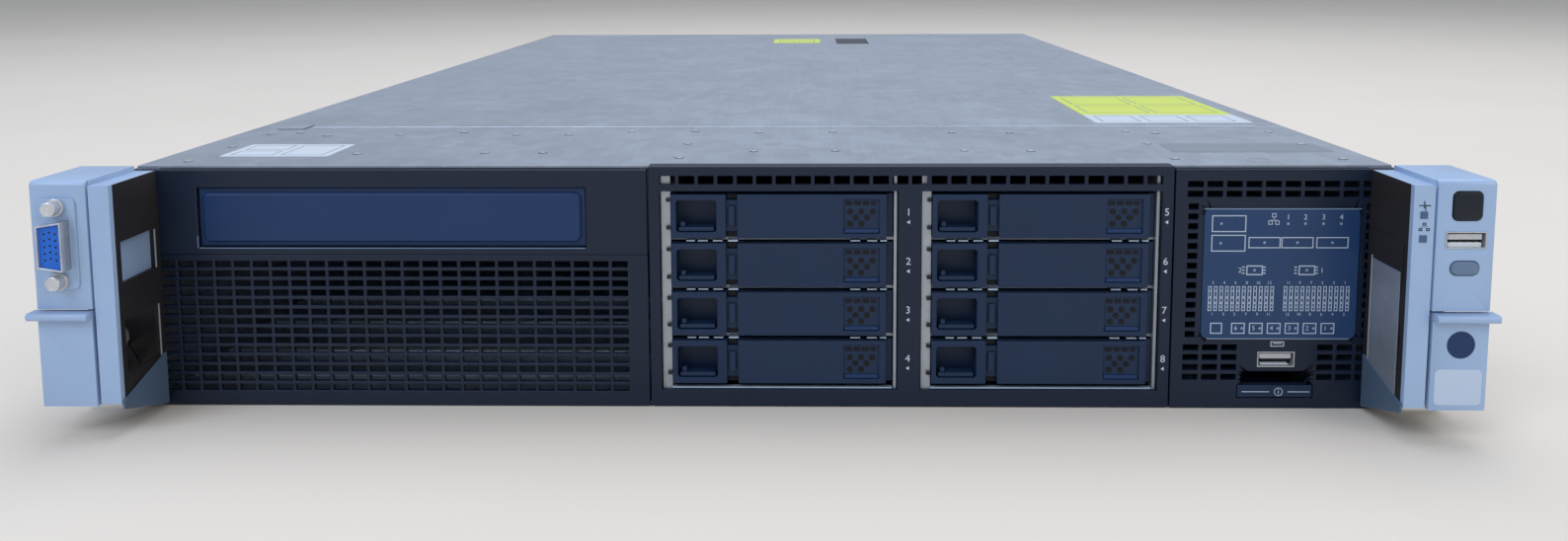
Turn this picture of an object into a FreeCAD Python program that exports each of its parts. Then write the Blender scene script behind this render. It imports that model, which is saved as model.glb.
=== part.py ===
import FreeCAD, Part
import os
from math import cos, pi, radians, sin

# A two-unit rack server: +X to the right of someone facing it, +Y from front to rear, +Z up.
# The origin is on the bottom of the chassis, at its middle, in the plane of the front bezels.

Vec = FreeCAD.Vector

# Overall sizes, in millimetres
body_width = 445.4
body_height = 87.3
body_depth = 698.5
ear_span = 482.6

# Sheet thicknesses and clearances
tray_sheet = 1.2
cover_sheet = 1.0
cage_sheet = 1.0
bezel_sheet = 2.0
bezel_gap = 0.6
slide_gap = 0.3
pin_gap = 0.05
button_gap = 0.3

# Front bays, from the right-hand side; the media bay takes the width that is left
display_bay_width = 76.7
drive_bay_width = 185.0
side_bezel_height = 86.2
drive_bezel_lip = 7.0
side_bezel_lip = 3.0
lip_thickness = 0.9

# Ventilation slots in the bezels
slot_width = 5.6
slot_height = 2.3
slot_pitch_x = 6.79
slot_pitch_z = 3.5
grille_top = 53.2
grille_rows = 14
grille_side_margin = 6.8
frame_bottom = 55.5

# Media bay blank
blank_opening_side = 22.2
blank_opening_width = 139.0
blank_opening_low = 58.2
blank_opening_height = 21.6
blank_face_margin = 1.5
blank_face_radius = 2.5
blank_face_rise = 1.6
blank_plate = 1.4
blank_wall = 1.5
blank_depth = 42.0
blank_pull = 46.0

# Drive bay: two columns of four bays
bay_rows = 4
bay_pitch = 17.75
bay_first_centre = 16.1
drive_height = 15.8
drive_width = 78.9
column_left_1 = 7.5
column_left_2 = 100.2
column_strip = 3.3
window_margin = 0.4
window_low = 6.0
window_high = 78.5
cage_depth = 160.0
cage_front = 3.4
shelf_sheet = 1.0
shelf_setback = 1.6
shelf_depth = 94.0
cage_top_gap = 0.4
drive_setback = 0.5
drive_block_depth = 11.0
drive_face_plate = 2.5
drive_rail_depth = 78.0
drive_rail_width = 1.5
drive_rail_height = 7.0
drive_pull = 82.0
top_slot_width = 5.5
top_slot_height = 3.0
top_slot_pitch = 6.87
top_slot_low = 81.0
top_slots = 26

# Drive blank face, measured from its left edge
pocket_left = 1.8
pocket_width = 14.3
pocket_height = 11.5
pocket_depth = 8.6
pocket_radius = 1.2
latch_recess_left = 19.5
latch_recess_width = 4.0
latch_recess_depth = 1.6
latch_notch_height = 2.2
vent_recess_left = 61.3
vent_recess_width = 12.7
vent_recess_height = 12.4
vent_recess_depth = 0.9
drive_step_width = 2.4
drive_step_depth = 3.0

# Drive backplane
board_sheet = 1.6
drive_plug_width = 34.0
drive_plug_height = 6.0
drive_plug_depth = 8.0
backplane_top_gap = 5.0

# Display bay
display_left = 10.2
display_width = 54.5
display_low = 25.2
display_height = 47.3
display_corner = 2.5
display_rise = 0.3
display_flange = 1.5
display_window_gap = 0.2
display_plate = 1.2
side_slot_pitch_z = 3.55
side_slots = 14
side_slot_width = 3.6
side_slot_high = 74.2
side_slot_inset = 5.6
display_top_slots = 10
display_top_rows = 2
display_top_high = 82.2
low_slot_pitch_z = 3.6
low_slot_high = 23.2
low_slot_rows = 4
low_slot_columns = 3
usb_width = 13.2
usb_height = 5.6
usb_depth = 14.0
usb_shell = 0.4
usb_tongue = 1.9
usb_centre_from_right = 39.0
usb_centre_z = 17.8
thumb_width = 24.0
thumb_low = 8.7
thumb_height = 4.8
tab_width = 26.5
tab_low = 3.8
tab_height = 4.5
tab_grip_depth = 3.0
tab_card_sheet = 1.6
tab_card_depth = 92.0
tab_pull = 75.0
tab_rise = 0.2
tab_pad_inset = 4.0

# Top covers
front_cover_depth = 95.0
cover_joint = 0.5
hood_travel = 13.0
hood_lip_height = 8.0
hood_lip_end = 18.0
latch_opening_width = 27.0
latch_opening_depth = 66.0
latch_centre_x = 57.5
latch_from_rear = 88.5
latch_housing_sheet = 1.2
latch_housing_height = 12.0
latch_thickness = 4.0
latch_pin_radius = 1.2
latch_pin_drop = 3.3
latch_top_drop = 0.4
latch_finger_room = 6.0
latch_pin_inset = 5.0
latch_lift_degrees = 75.0
side_seat_width = 8.0

# Floor ribs under the media bay
floor_rib_places = [20.0, 46.0, 83.0, 117.0]
rib_margin = 4.0
rib_width = 4.0
rib_height = 2.0

# Rack ears: steel brackets, plastic caps and quick-release levers
ear_depth = 29.0
ear_top = 88.0
ear_strip_inner = 214.3
ear_strip_outer = 221.2
ear_strip_low = 11.5
ear_strip_top = 86.3
ear_groove_depth = 1.6
cap_wall = 2.2
cap_low = 44.4
bracket_sheet = 1.5
bracket_arm_depth = 58.0
bracket_arm_sheet = 1.2
bracket_low = 1.5
lever_inset = 0.4
lever_low = 10.7
lever_top = 43.6
lever_plate = 2.2
lever_ledge_height = 2.6
lever_ledge_rise = 3.4
lever_ledge_reach = 2.0
lever_pin_radius = 1.3
lever_pin_setback = 5.2
lever_pin_height = 4.2
lever_lug_width = 3.2
lever_open_degrees = 55.0
hinge_arm_width = 6.0
hinge_arm_radius = 2.6
screw_shank_radius = 2.4
screw_head_radius = 5.0
screw_head_depth = 9.0
screw_height = 26.0
power_button_size = 9.4
power_button_centre_z = 79.5
locator_button_width = 9.2
locator_button_height = 4.5
locator_button_centre_z = 58.8
button_rise = 0.6
button_travel = 0.9
button_flange = 1.0
ear_usb_centre_z = 68.2
video_centre_z = 66.8
video_screw_spacing = 25.0
video_shell_height = 16.6
video_shell_width = 8.4
video_rise = 6.0
video_plate_width = 12.4
video_plate_height = 31.0
video_plate_sheet = 0.8
jackscrew_radius = 2.6
ear_top_radius = 1.8
ear_side_radius = 1.2
ear_nose = 12.0
wall_windows = [(-24.0, -4.0, 52.0, 66.0), (-24.0, -4.0, 20.0, 39.0)]
lever_rib_place = 6.2
lever_rib_depth = 5.0
lens_places = [76.5, 68.6]
lens_size = 2.4
lens_rise = 0.3
lens_depth = 2.0

# Rail studs on the side walls
stud_radius = 2.0
stud_head_radius = 3.4
stud_head_sheet = 0.8
stud_reach = 2.2
stud_height = 46.0
stud_first = 120.0
stud_spacing = 210.0
studs_each_side = 3

# System board, processors, memory
board_height = 8.0
board_front = 288.0
boss_size = 6.0
board_edge = 3.0
socket_sheet = 4.0
heatsink_width = 84.0
heatsink_depth = 92.0
heatsink_height = 52.0
heatsink_base = 6.0
heatsink_fins = 15
heatsink_fin = 1.2
processor_x = 108.0
processor_y = 380.0
module_length = 133.0
module_height = 30.0
module_sheet = 1.4
module_pitch = 8.4
modules_per_row = 6
memory_socket_width = 6.4
memory_socket_height = 8.0
baffle_sheet = 1.5
baffle_top = 82.0
baffle_depth = 176.0

# Cooling fans
fan_count = 6
fan_size = 60.0
fan_depth = 38.0
fan_pitch = 68.0
fan_front = 225.0
fan_bore_radius = 28.2
fan_tip_radius = 27.2
fan_hub_radius = 16.0
fan_motor_radius = 14.0
fan_shaft_radius = 2.0
fan_shaft_inset = 8.0
fan_rotor_inset = 6.0
fan_strut = 3.0
fan_blades = 7
fan_blade_sheet = 1.6
fan_blade_degrees = 38.0
fan_cage_sheet = 1.5
fan_cage_margin = 10.0
fan_floor = 6.0

# Rear panel, risers and ports
rear_sheet = 1.2
rear_top_gap = 1.6
riser_slots = 3
riser_slot_pitch = 20.32
riser_slot_low = 25.0
riser_slot_width = 112.0
riser_slot_height = 13.0
riser_depth = 190.0
riser_sheet = 1.2
riser_1_left = -108.0
riser_2_left = 86.0
cover_tab = 3.0
cover_overlap = 0.8
cover_vents = 2
cover_vent_height = 4.0
port_row_centre = 16.4
jack_width = 15.8
jack_height = 13.4
jack_depth = 21.0
jack_mouth_width = 12.0
jack_mouth_height = 8.6
jack_mouth_depth = 14.0
jack_pitch = 17.4
jacks_first_x = 48.6
network_jacks = 5
rear_usb_x = 6.0
rear_serial_x = -78.0
rear_video_x = -38.0
rear_d_width = 31.0
rear_d_height = 12.4
rear_d_shell_width = 17.0
rear_d_shell_height = 8.4
rear_d_rise = 5.8

# Power supplies
supply_width = 86.4
supply_height = 39.6
supply_depth = 194.0
supply_sheet = 1.0
supply_pitch = 41.4
supply_low = 2.0
supply_gap = 0.9
supply_pull = 190.0
supply_bay_sheet = 0.8
supply_bay_clear = 6.0
supply_rear_set = 1.0
supply_fan_radius = 17.6
supply_fan_x = 24.0
supply_fan_depth = 26.0
supply_rotor_radius = 16.4
supply_rotor_depth = 12.0
supply_hub_radius = 8.0
supply_shaft_radius = 1.5
supply_inlet_width = 27.6
supply_inlet_height = 20.0
supply_inlet_depth = 17.0
supply_inlet_x = 62.0
supply_handle_reach = 24.0
supply_handle_width = 30.0
supply_handle_bar = 4.0
supply_latch_width = 7.0
supply_latch_height = 16.0
supply_latch_reach = 18.0
supply_latch_pin = 1.2
supply_latch_degrees = 14.0

# Positions that follow from the sizes above
half_width = body_width / 2
drive_right = half_width - display_bay_width
drive_left = drive_right - drive_bay_width
cover_low = body_height - cover_sheet
wall_inner = half_width - tray_sheet
wall_top = cover_low - slide_gap
hood_front = front_cover_depth + cover_joint
media_left = -half_width
media_right = drive_left - bezel_gap
display_bay_left = drive_right + bezel_gap
ear_outer = ear_span / 2


def block(x0, x1, y0, y1, z0, z1):
    """A cuboid between two corners."""
    return Part.makeBox(x1 - x0, y1 - y0, z1 - z0, Vec(x0, y0, z0))


def rod(radius, start, end):
    """A round bar from one point to another."""
    axis = end - start
    return Part.makeCylinder(radius, axis.Length, start, axis)


def rod_y(radius, x, y0, y1, z):
    """A round bar along the depth of the server."""
    return rod(radius, Vec(x, y0, z), Vec(x, y1, z))


def prism_y(radius, sides, x, y0, y1, z):
    """A regular prism along the depth of the server."""
    corners = [Vec(x + radius * cos(2 * pi * (k + 0.5) / sides), y0,
                   z + radius * sin(2 * pi * (k + 0.5) / sides)) for k in range(sides)]
    face = Part.Face(Part.makePolygon(corners + corners[:1]))
    return face.extrude(Vec(0, y1 - y0, 0))


def fuse(solids):
    """One solid from several that touch or overlap."""
    whole = solids[0]
    if len(solids) > 1:
        whole = whole.multiFuse(solids[1:]).removeSplitter()
    return whole


def cut(solid, tools):
    """A solid with several others taken away from it."""
    return solid.cut(Part.makeCompound(tools))


def mirror_x(solid):
    """The same piece on the other side of the middle plane."""
    return solid.mirror(Vec(0, 0, 0), Vec(1, 0, 0))


def save(name, solids):
    """Write one sub-part, which may be a group of separate solids."""
    shape = solids[0] if len(solids) == 1 else Part.makeCompound(solids)
    shape.exportStep("parts/" + name + ".step")


def polygon_xz(points):
    """A closed outline in the plane y = 0 from (x, z) corners."""
    corners = [Vec(x, 0, z) for x, z in points]
    return Part.makePolygon(corners + corners[:1])


def rectangle_xz(x0, x1, z0, z1):
    """A rectangular outline in the plane y = 0."""
    return polygon_xz([(x0, z0), (x1, z0), (x1, z1), (x0, z1)])


def rounded_xz(x0, x1, z0, z1, radius):
    """A rectangular outline with round corners in the plane y = 0."""
    flat = block(x0, x1, 0, 1, z0, z1)
    upright = [e for e in flat.Edges if e.BoundBox.YLength > 0.5]
    soft = flat.makeFillet(radius, upright)
    front = min(soft.Faces, key=lambda face: face.CenterOfMass.y)
    return front.OuterWire


def sheet_xz(outline, holes, y0, y1):
    """A flat sheet that faces the front, with holes through it."""
    face = Part.makeFace([outline] + holes, "Part::FaceMakerBullseye")
    face.translate(Vec(0, y0, 0))
    return face.extrude(Vec(0, y1 - y0, 0))


def slot_grid(x_first, x_last, pitch_x, width, z_tops, height):
    """Outlines of ventilation slots: columns from x_first on, one row under each of z_tops."""
    columns = int(round((x_last - x_first) / pitch_x))
    outlines = []
    for column in range(columns + 1):
        middle = x_first + column * pitch_x
        for top in z_tops:
            outlines.append(rectangle_xz(middle - width / 2, middle + width / 2, top - height, top))
    return outlines


# ---------------------------------------------------------------- chassis and covers

def chassis_tray():
    """Floor and side walls bent from one sheet, with ribs and board bosses pressed in the floor."""
    front = bezel_sheet
    rear = body_depth - rear_sheet
    profile = polygon_xz([
        (-half_width, 0), (half_width, 0), (half_width, wall_top), (wall_inner, wall_top),
        (wall_inner, tray_sheet), (-wall_inner, tray_sheet), (-wall_inner, wall_top),
        (-half_width, wall_top)])
    tray = sheet_xz(profile, [], front, rear)
    ribs = [block(media_left + rib_margin, media_right - rib_margin, y, y + rib_width,
                  tray_sheet, tray_sheet + rib_height) for y in floor_rib_places]
    bosses = [block(x - boss_size / 2, x + boss_size / 2, y - boss_size / 2, y + boss_size / 2,
                    tray_sheet, board_height) for x, y in boss_places()]
    return fuse([tray, tab_pad()] + ribs + bosses)


def boss_places():
    """Where the system board stands on the floor."""
    front_row = board_front + 12
    middle_row = (board_front + supply_bay_front()) / 2
    columns = [-wall_inner + 14, -70, 70, wall_inner - 14]
    places = [(x, y) for x in columns for y in (front_row, middle_row)]
    rear_row = body_depth - 60
    places += [(x, rear_row) for x in columns[1:]]
    return places


def supply_bay_front():
    """Front of the partition round the power supplies."""
    return body_depth - rear_sheet - supply_depth - supply_bay_clear


def front_top_cover():
    """Fixed cover over the drive bays, with its front edge folded down behind the bezel lips."""
    wing = block(-half_width, half_width, side_bezel_lip, front_cover_depth, cover_low, body_height)
    step = block(drive_left, drive_right, 0, drive_bezel_lip, cover_low - 1, body_height + 1)
    side_seats = [block(x, x + side_seat_width, side_bezel_lip, front_cover_depth, wall_top, cover_low)
                  for x in (-half_width, half_width - side_seat_width)]
    return fuse([wing.cut(step)] + side_seats)


def hood_latch_box():
    """Outline of the latch opening in the access panel: x0, x1, y0, y1."""
    middle_y = body_depth - latch_from_rear
    return (latch_centre_x - latch_opening_width / 2, latch_centre_x + latch_opening_width / 2,
            middle_y - latch_opening_depth / 2, middle_y + latch_opening_depth / 2)


def access_panel():
    """Sliding hood with lips turned down inside the side walls and an opening for its latch."""
    rear = body_depth
    plate = block(-half_width, half_width, hood_front, rear, cover_low, body_height)
    lip_x = wall_inner - slide_gap
    lips = [block(x, x + cover_sheet, hood_front, rear - hood_lip_end, cover_low - hood_lip_height, cover_low)
            for x in (-lip_x, lip_x - cover_sheet)]
    x0, x1, y0, y1 = hood_latch_box()
    opening = block(x0, x1, y0, y1, cover_low - 1, body_height + 1)
    return fuse([plate] + lips).cut(opening)


def latch_housing():
    """Moulded pan under the latch opening, hung from the underside of the hood."""
    x0, x1, y0, y1 = hood_latch_box()
    wall = latch_housing_sheet
    low = cover_low - latch_housing_height
    outer = block(x0 - wall, x1 + wall, y0 - wall, y1 + wall, low, cover_low)
    inner = block(x0, x1, y0, y1, low + wall, cover_low + 1)
    pin_y, pin_z = latch_pin_place()
    bore = rod(latch_pin_radius + pin_gap, Vec(x0 - 2 * wall, pin_y, pin_z), Vec(x1 + 2 * wall, pin_y, pin_z))
    return cut(outer, [inner, bore])


def hood_latch():
    """Handle that lifts about a pin at its rear end to drive the hood back."""
    x0, x1, y0, y1 = hood_latch_box()
    top = body_height - latch_top_drop
    pin_y, pin_z = latch_pin_place()
    arm = block(x0 + slide_gap, x1 - slide_gap, y0 + latch_finger_room, pin_y, top - latch_thickness, top)
    knuckle_radius = top - pin_z
    knuckle = rod(knuckle_radius, Vec(x0 + slide_gap, pin_y, pin_z), Vec(x1 - slide_gap, pin_y, pin_z))
    reach = latch_housing_sheet - slide_gap
    pin = rod(latch_pin_radius, Vec(x0 - reach, pin_y, pin_z), Vec(x1 + reach, pin_y, pin_z))
    return fuse([arm, knuckle, pin])


def latch_pin_place():
    """Axis of the hood latch in y and z."""
    x0, x1, y0, y1 = hood_latch_box()
    return y1 - latch_pin_inset, body_height - latch_pin_drop


# ---------------------------------------------------------------- media bay

def blank_opening():
    """Opening of the media bay: x0, x1, z0, z1."""
    x0 = media_left + blank_opening_side
    return x0, x0 + blank_opening_width, blank_opening_low, blank_opening_low + blank_opening_height


def media_bay_frame():
    """Upper part of the left bezel, round the opening of the media bay, with its top lip."""
    x0, x1, z0, z1 = blank_opening()
    outline = rectangle_xz(media_left, media_right, frame_bottom, side_bezel_height)
    plate = sheet_xz(outline, [rectangle_xz(x0, x1, z0, z1)], 0, bezel_sheet)
    lip = block(-wall_inner, media_right, 0, side_bezel_lip, side_bezel_height - lip_thickness, side_bezel_height)
    return fuse([plate, lip])


def media_bay_grille():
    """Perforated lower part of the left bezel."""
    middle_first = media_left + grille_side_margin + slot_width / 2
    middle_last = media_right - grille_side_margin - slot_width / 2
    columns = int((middle_last - middle_first) / slot_pitch_x)
    spare = (middle_last - middle_first - columns * slot_pitch_x) / 2
    tops = [grille_top - row * slot_pitch_z for row in range(grille_rows)]
    slots = slot_grid(middle_first + spare, middle_last - spare, slot_pitch_x, slot_width, tops, slot_height)
    outline = rectangle_xz(media_left, media_right, 0, frame_bottom)
    return sheet_xz(outline, slots, 0, bezel_sheet)


def media_bay_blank():
    """Pull-out filler: a raised rounded face on a plate, with four walls behind it."""
    x0, x1, z0, z1 = blank_opening()
    x0, x1, z0, z1 = x0 + slide_gap, x1 - slide_gap, z0 + slide_gap, z1 - slide_gap
    inset = blank_face_margin
    plate = block(x0, x1, blank_face_rise, blank_face_rise + blank_plate, z0, z1)
    face_outline = rounded_xz(x0 + inset, x1 - inset, z0 + inset, z1 - inset, blank_face_radius)
    face = sheet_xz(face_outline, [], 0, blank_face_rise)
    rim = [e for e in face.Edges if e.BoundBox.YMax < 0.01]
    face = face.makeChamfer(blank_face_rise * 0.45, rim)
    start = blank_face_rise + blank_plate
    walls = block(x0, x1, start, start + blank_depth, z0, z1)
    hollow = block(x0 + blank_wall, x1 - blank_wall, start - 1, start + blank_depth + 1,
                   z0 + blank_wall, z1 - blank_wall)
    return fuse([plate, face, walls.cut(hollow)])


# ---------------------------------------------------------------- drive bay

def columns_left():
    """Left inner face of the cage for each column of drives."""
    return [drive_left + column_left_1, drive_left + column_left_2]


def column_inner_width():
    """Room between the cage walls of one column."""
    return drive_width + 2 * slide_gap


def bay_centres():
    """Heights of the four bays, lowest first."""
    return [bay_first_centre + row * bay_pitch for row in range(bay_rows)]


def drive_bay_bezel():
    """Black frame with two windows, a row of slots above them and a top lip."""
    windows = [rectangle_xz(left - column_strip - window_margin,
                            left + column_inner_width() + cage_sheet + window_margin,
                            window_low, window_high) for left in columns_left()]
    span = (top_slots - 1) * top_slot_pitch
    first = (drive_left + drive_right - span) / 2
    slots = slot_grid(first, first + span, top_slot_pitch, top_slot_width,
                      [top_slot_low + top_slot_height], top_slot_height)
    outline = rectangle_xz(drive_left, drive_right, 0, body_height)
    plate = sheet_xz(outline, windows + slots, 0, bezel_sheet)
    lip = block(drive_left, drive_right, 0, drive_bezel_lip, body_height - lip_thickness, body_height)
    return fuse([plate, lip])


def shelf(left, z):
    """One cage shelf between two bays."""
    return block(left, left + column_inner_width(), cage_front + shelf_setback, shelf_depth,
                 z - shelf_sheet / 2, z + shelf_sheet / 2)


def drive_cage():
    """Galvanised cage: two boxes with front flanges and three shelves each, on the tray floor."""
    low = tray_sheet
    high = cover_low - cage_top_gap
    width = column_inner_width()
    pieces = []
    for left in columns_left():
        right = left + width
        pieces.append(block(left - cage_sheet, left, bezel_sheet, cage_depth, low, high))
        pieces.append(block(left - column_strip, left, bezel_sheet, cage_front, low, high))
        pieces.append(block(right, right + cage_sheet, bezel_sheet, cage_depth, low, high))
        centres = bay_centres()
        for lower, upper in zip(centres, centres[1:]):
            pieces.append(shelf(left, (lower + upper) / 2))
    inner = columns_left()[0] - cage_sheet
    outer = columns_left()[-1] + width + cage_sheet
    pieces.append(block(inner, outer, cage_front, cage_depth, low, low + cage_sheet))
    pieces.append(block(inner, outer, cage_front, cage_depth, high - cage_sheet, high))
    return fuse(pieces)


def drive_blank(left, middle):
    """Drive filler: finger pocket, latch recess, vent recess and two side rails."""
    x0 = left + slide_gap
    x1 = x0 + drive_width
    low = middle - drive_height / 2
    high = middle + drive_height / 2
    front = drive_setback
    back = front + drive_block_depth
    body = block(x0, x1, front, back, low, high)
    pocket_outline = rounded_xz(x0 + pocket_left, x0 + pocket_left + pocket_width,
                                middle - pocket_height / 2, middle + pocket_height / 2, pocket_radius)
    pocket = sheet_xz(pocket_outline, [], front - 1, front + pocket_depth)
    recess_x = x0 + latch_recess_left
    recess = block(recess_x, recess_x + latch_recess_width, front - 1, front + latch_recess_depth,
                   low + latch_notch_height, high - latch_notch_height)
    notches = [block(recess_x, recess_x + latch_recess_width, front - 1, front + drive_step_depth, z0, z1)
               for z0, z1 in ((low - 1, low + latch_notch_height), (high - latch_notch_height, high + 1))]
    vent_x = x0 + vent_recess_left
    vent = block(vent_x, vent_x + vent_recess_width, front - 1, front + vent_recess_depth,
                 middle - vent_recess_height / 2, middle + vent_recess_height / 2)
    step = block(x1 - drive_step_width, x1 + 1, front - 1, front + drive_step_depth, low - 1, high + 1)
    hollow_wall = drive_rail_width
    hollow = block(recess_x + latch_recess_width, x1 - drive_step_width - hollow_wall,
                   front + drive_face_plate, back + 1, low + hollow_wall, high - hollow_wall)
    rails = [block(x, x + drive_rail_width, back, back + drive_rail_depth, low, low + drive_rail_height)
             for x in (x0, x1 - drive_rail_width)]
    body = cut(body, [pocket, recess, vent, step, hollow] + notches)
    return fuse([body] + rails)


def drive_backplane():
    """Upright board behind the cage with one plug for each bay."""
    left = columns_left()[0]
    right = columns_left()[-1] + column_inner_width()
    board = block(left, right, cage_depth, cage_depth + board_sheet, tray_sheet, body_height - backplane_top_gap)
    solids = [board]
    for column in columns_left():
        middle_x = column + column_inner_width() / 2
        for z in bay_centres():
            solids.append(block(middle_x - drive_plug_width / 2, middle_x + drive_plug_width / 2,
                                cage_depth - drive_plug_depth, cage_depth,
                                z - drive_plug_height / 2, z + drive_plug_height / 2))
    return solids


# ---------------------------------------------------------------- display bay

def display_box():
    """Window of the display panel: x0, x1, z0, z1."""
    x0 = display_bay_left + display_left
    return x0, x0 + display_width, display_low, display_low + display_height


def usb_middle():
    """Middle of the port in the display bay."""
    return half_width - usb_centre_from_right


def usb_opening(middle_x, middle_z, gap):
    """Outline round a port, larger by the gap all round."""
    return rectangle_xz(middle_x - usb_width / 2 - gap, middle_x + usb_width / 2 + gap,
                        middle_z - usb_height / 2 - gap, middle_z + usb_height / 2 + gap)


def tab_box(gap):
    """Front of the information tab, larger by the gap all round: x0, x1, z0, z1."""
    middle = usb_middle()
    return (middle - tab_width / 2 - gap, middle + tab_width / 2 + gap,
            tab_low - gap, tab_low + tab_height + gap)


def display_slots():
    """Ventilation slots round the display panel and the ports."""
    x0, x1, z0, z1 = display_box()
    left = x0 - side_slot_inset + side_slot_width / 2
    right = x1 + side_slot_inset - side_slot_width / 2
    side_tops = [side_slot_high - row * side_slot_pitch_z for row in range(side_slots)]
    slots = []
    for middle in (left, right):
        slots += slot_grid(middle, middle, slot_pitch_x, side_slot_width, side_tops, slot_height)
    span = (display_top_slots - 1) * slot_pitch_x
    first = (x0 + x1 - span) / 2
    tops = [display_top_high - row * slot_pitch_z for row in range(display_top_rows)]
    slots += slot_grid(first, first + span, slot_pitch_x, slot_width, tops, slot_height)
    block_span = (low_slot_columns - 1) * slot_pitch_x
    low_tops = [low_slot_high - row * low_slot_pitch_z for row in range(low_slot_rows)]
    for start in (first, first + span - block_span):
        slots += slot_grid(start, start + block_span, slot_pitch_x, slot_width, low_tops, slot_height)
    return slots


def display_bay_bezel():
    """Right-hand bezel: window, port, thumb recess and tab openings, and ventilation slots."""
    x0, x1, z0, z1 = display_box()
    gap = display_window_gap
    holes = [rounded_xz(x0 - gap, x1 + gap, z0 - gap, z1 + gap, display_corner + gap)]
    middle = usb_middle()
    holes.append(usb_opening(middle, usb_centre_z, 0.0))
    holes.append(rounded_xz(middle - thumb_width / 2, middle + thumb_width / 2,
                            thumb_low, thumb_low + thumb_height, thumb_height * 0.45))
    holes.append(rectangle_xz(*tab_box(0.0)))
    outline = rectangle_xz(display_bay_left, half_width, 0, side_bezel_height)
    tab_x0, tab_x1, tab_z0, tab_z1 = tab_box(slide_gap)
    holes[-1] = rectangle_xz(tab_x0, tab_x1, tab_z0, tab_z1)
    plate = sheet_xz(outline, holes + display_slots(), 0, bezel_sheet)
    lip = block(display_bay_left, wall_inner, 0, side_bezel_lip,
                side_bezel_height - lip_thickness, side_bezel_height)
    return fuse([plate, lip])


def display_panel():
    """Moulded status panel that clips in the window from behind."""
    x0, x1, z0, z1 = display_box()
    face = sheet_xz(rounded_xz(x0, x1, z0, z1, display_corner), [], -display_rise, bezel_sheet)
    rim = [e for e in face.Edges if e.BoundBox.YMax < 0]
    face = face.makeChamfer(display_rise * 0.6, rim)
    flange = block(x0 - display_flange, x1 + display_flange, bezel_sheet, bezel_sheet + display_plate,
                   z0 - display_flange, z1 + display_flange)
    return fuse([face, flange])


def usb_port(middle_x, front, middle_z):
    """A port: folded shell, closed at the back, with a contact tongue inside."""
    outline = usb_opening(middle_x, middle_z, 0.0)
    inner = usb_opening(middle_x, middle_z, -usb_shell)
    shell = sheet_xz(outline, [inner], front, front + usb_depth)
    back = sheet_xz(outline, [], front + usb_depth, front + usb_depth + usb_shell)
    half = usb_width / 2 - usb_shell - 0.6
    top = middle_z + usb_height / 2 - usb_shell - 0.5
    tongue = block(middle_x - half, middle_x + half, front + 1, front + usb_depth, top - usb_tongue, top)
    return fuse([shell, back, tongue])


def info_tab():
    """Pull-out card: a grip in the bezel and a card that runs over a pad in the floor."""
    x0, x1, z0, z1 = tab_box(0.0)
    grip = block(x0, x1, -tab_rise, tab_grip_depth, z0, z1)
    card = block(x0, x1, tab_grip_depth, tab_grip_depth + tab_card_depth, z0, z0 + tab_card_sheet)
    return fuse([grip, card])


def tab_pad():
    """Raised pad of the floor that carries the information card."""
    x0, x1, z0, z1 = tab_box(0.0)
    return block(x0 + tab_pad_inset, x1 - tab_pad_inset, bezel_sheet, tab_grip_depth + tab_card_depth,
                 tray_sheet, z0 - slide_gap)


# ---------------------------------------------------------------- rack ears (right side, mirrored for the left)

def lever_box():
    """Front outline of a lever: x0, x1, z0, z1."""
    return (ear_strip_outer + 0.9 + lever_inset, ear_outer - lever_inset, lever_low, lever_top)


def lever_pin():
    """Axis of a lever in y and z."""
    return -ear_depth + lever_pin_setback, lever_low + lever_pin_height


def hinge_arm_middle():
    """Middle of the hinge arm across the lever."""
    x0, x1, z0, z1 = lever_box()
    return (x0 + x1) / 2


def ear_bracket():
    """Bent steel: side arm on the chassis, rack flange, inner wall with windows and a hinge arm."""
    arm = block(half_width, half_width + bracket_arm_sheet, -bracket_sheet, bracket_arm_depth,
                bracket_low, side_bezel_height)
    flange = block(ear_strip_inner, ear_outer, -bracket_sheet, 0, bracket_low, side_bezel_height)
    wall = block(ear_strip_inner, ear_strip_inner + bracket_sheet, -ear_depth + cap_wall, 0,
                 bracket_low, side_bezel_height)
    corner = wedge_yz(ear_strip_inner, bracket_sheet, -ear_depth + cap_wall, bracket_low, ear_nose, ear_nose)
    windows = [block(ear_strip_inner - 1, ear_strip_inner + bracket_sheet + 1, y0, y1, z0, z1)
               for y0, y1, z0, z1 in wall_windows]
    pin_y, pin_z = lever_pin()
    middle = hinge_arm_middle()
    x0, x1 = middle - hinge_arm_width / 2, middle + hinge_arm_width / 2
    arm_bar = block(x0, x1, pin_y, -bracket_sheet, pin_z - hinge_arm_radius, pin_z + hinge_arm_radius)
    eye = rod(hinge_arm_radius, Vec(x0, pin_y, pin_z), Vec(x1, pin_y, pin_z))
    bore = rod(lever_pin_radius + pin_gap, Vec(x0 - 1, pin_y, pin_z), Vec(x1 + 1, pin_y, pin_z))
    screw_hole = rod_y(screw_shank_radius + slide_gap, middle, -bracket_sheet - 1, 1, screw_height)
    bracket = fuse([arm, flange, wall, arm_bar, eye])
    return cut(bracket, windows + [corner, bore, screw_hole])


def wedge_yz(x0, width, y_front, z_low, run, rise):
    """A triangular prism that takes the lower front corner off an upright wall."""
    corners = [Vec(x0 - 1, y_front - 1, z_low - 1), Vec(x0 - 1, y_front + run, z_low - 1),
               Vec(x0 - 1, y_front - 1, z_low + rise)]
    face = Part.Face(Part.makePolygon(corners + corners[:1]))
    return face.extrude(Vec(width + 2, 0, 0))


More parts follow.
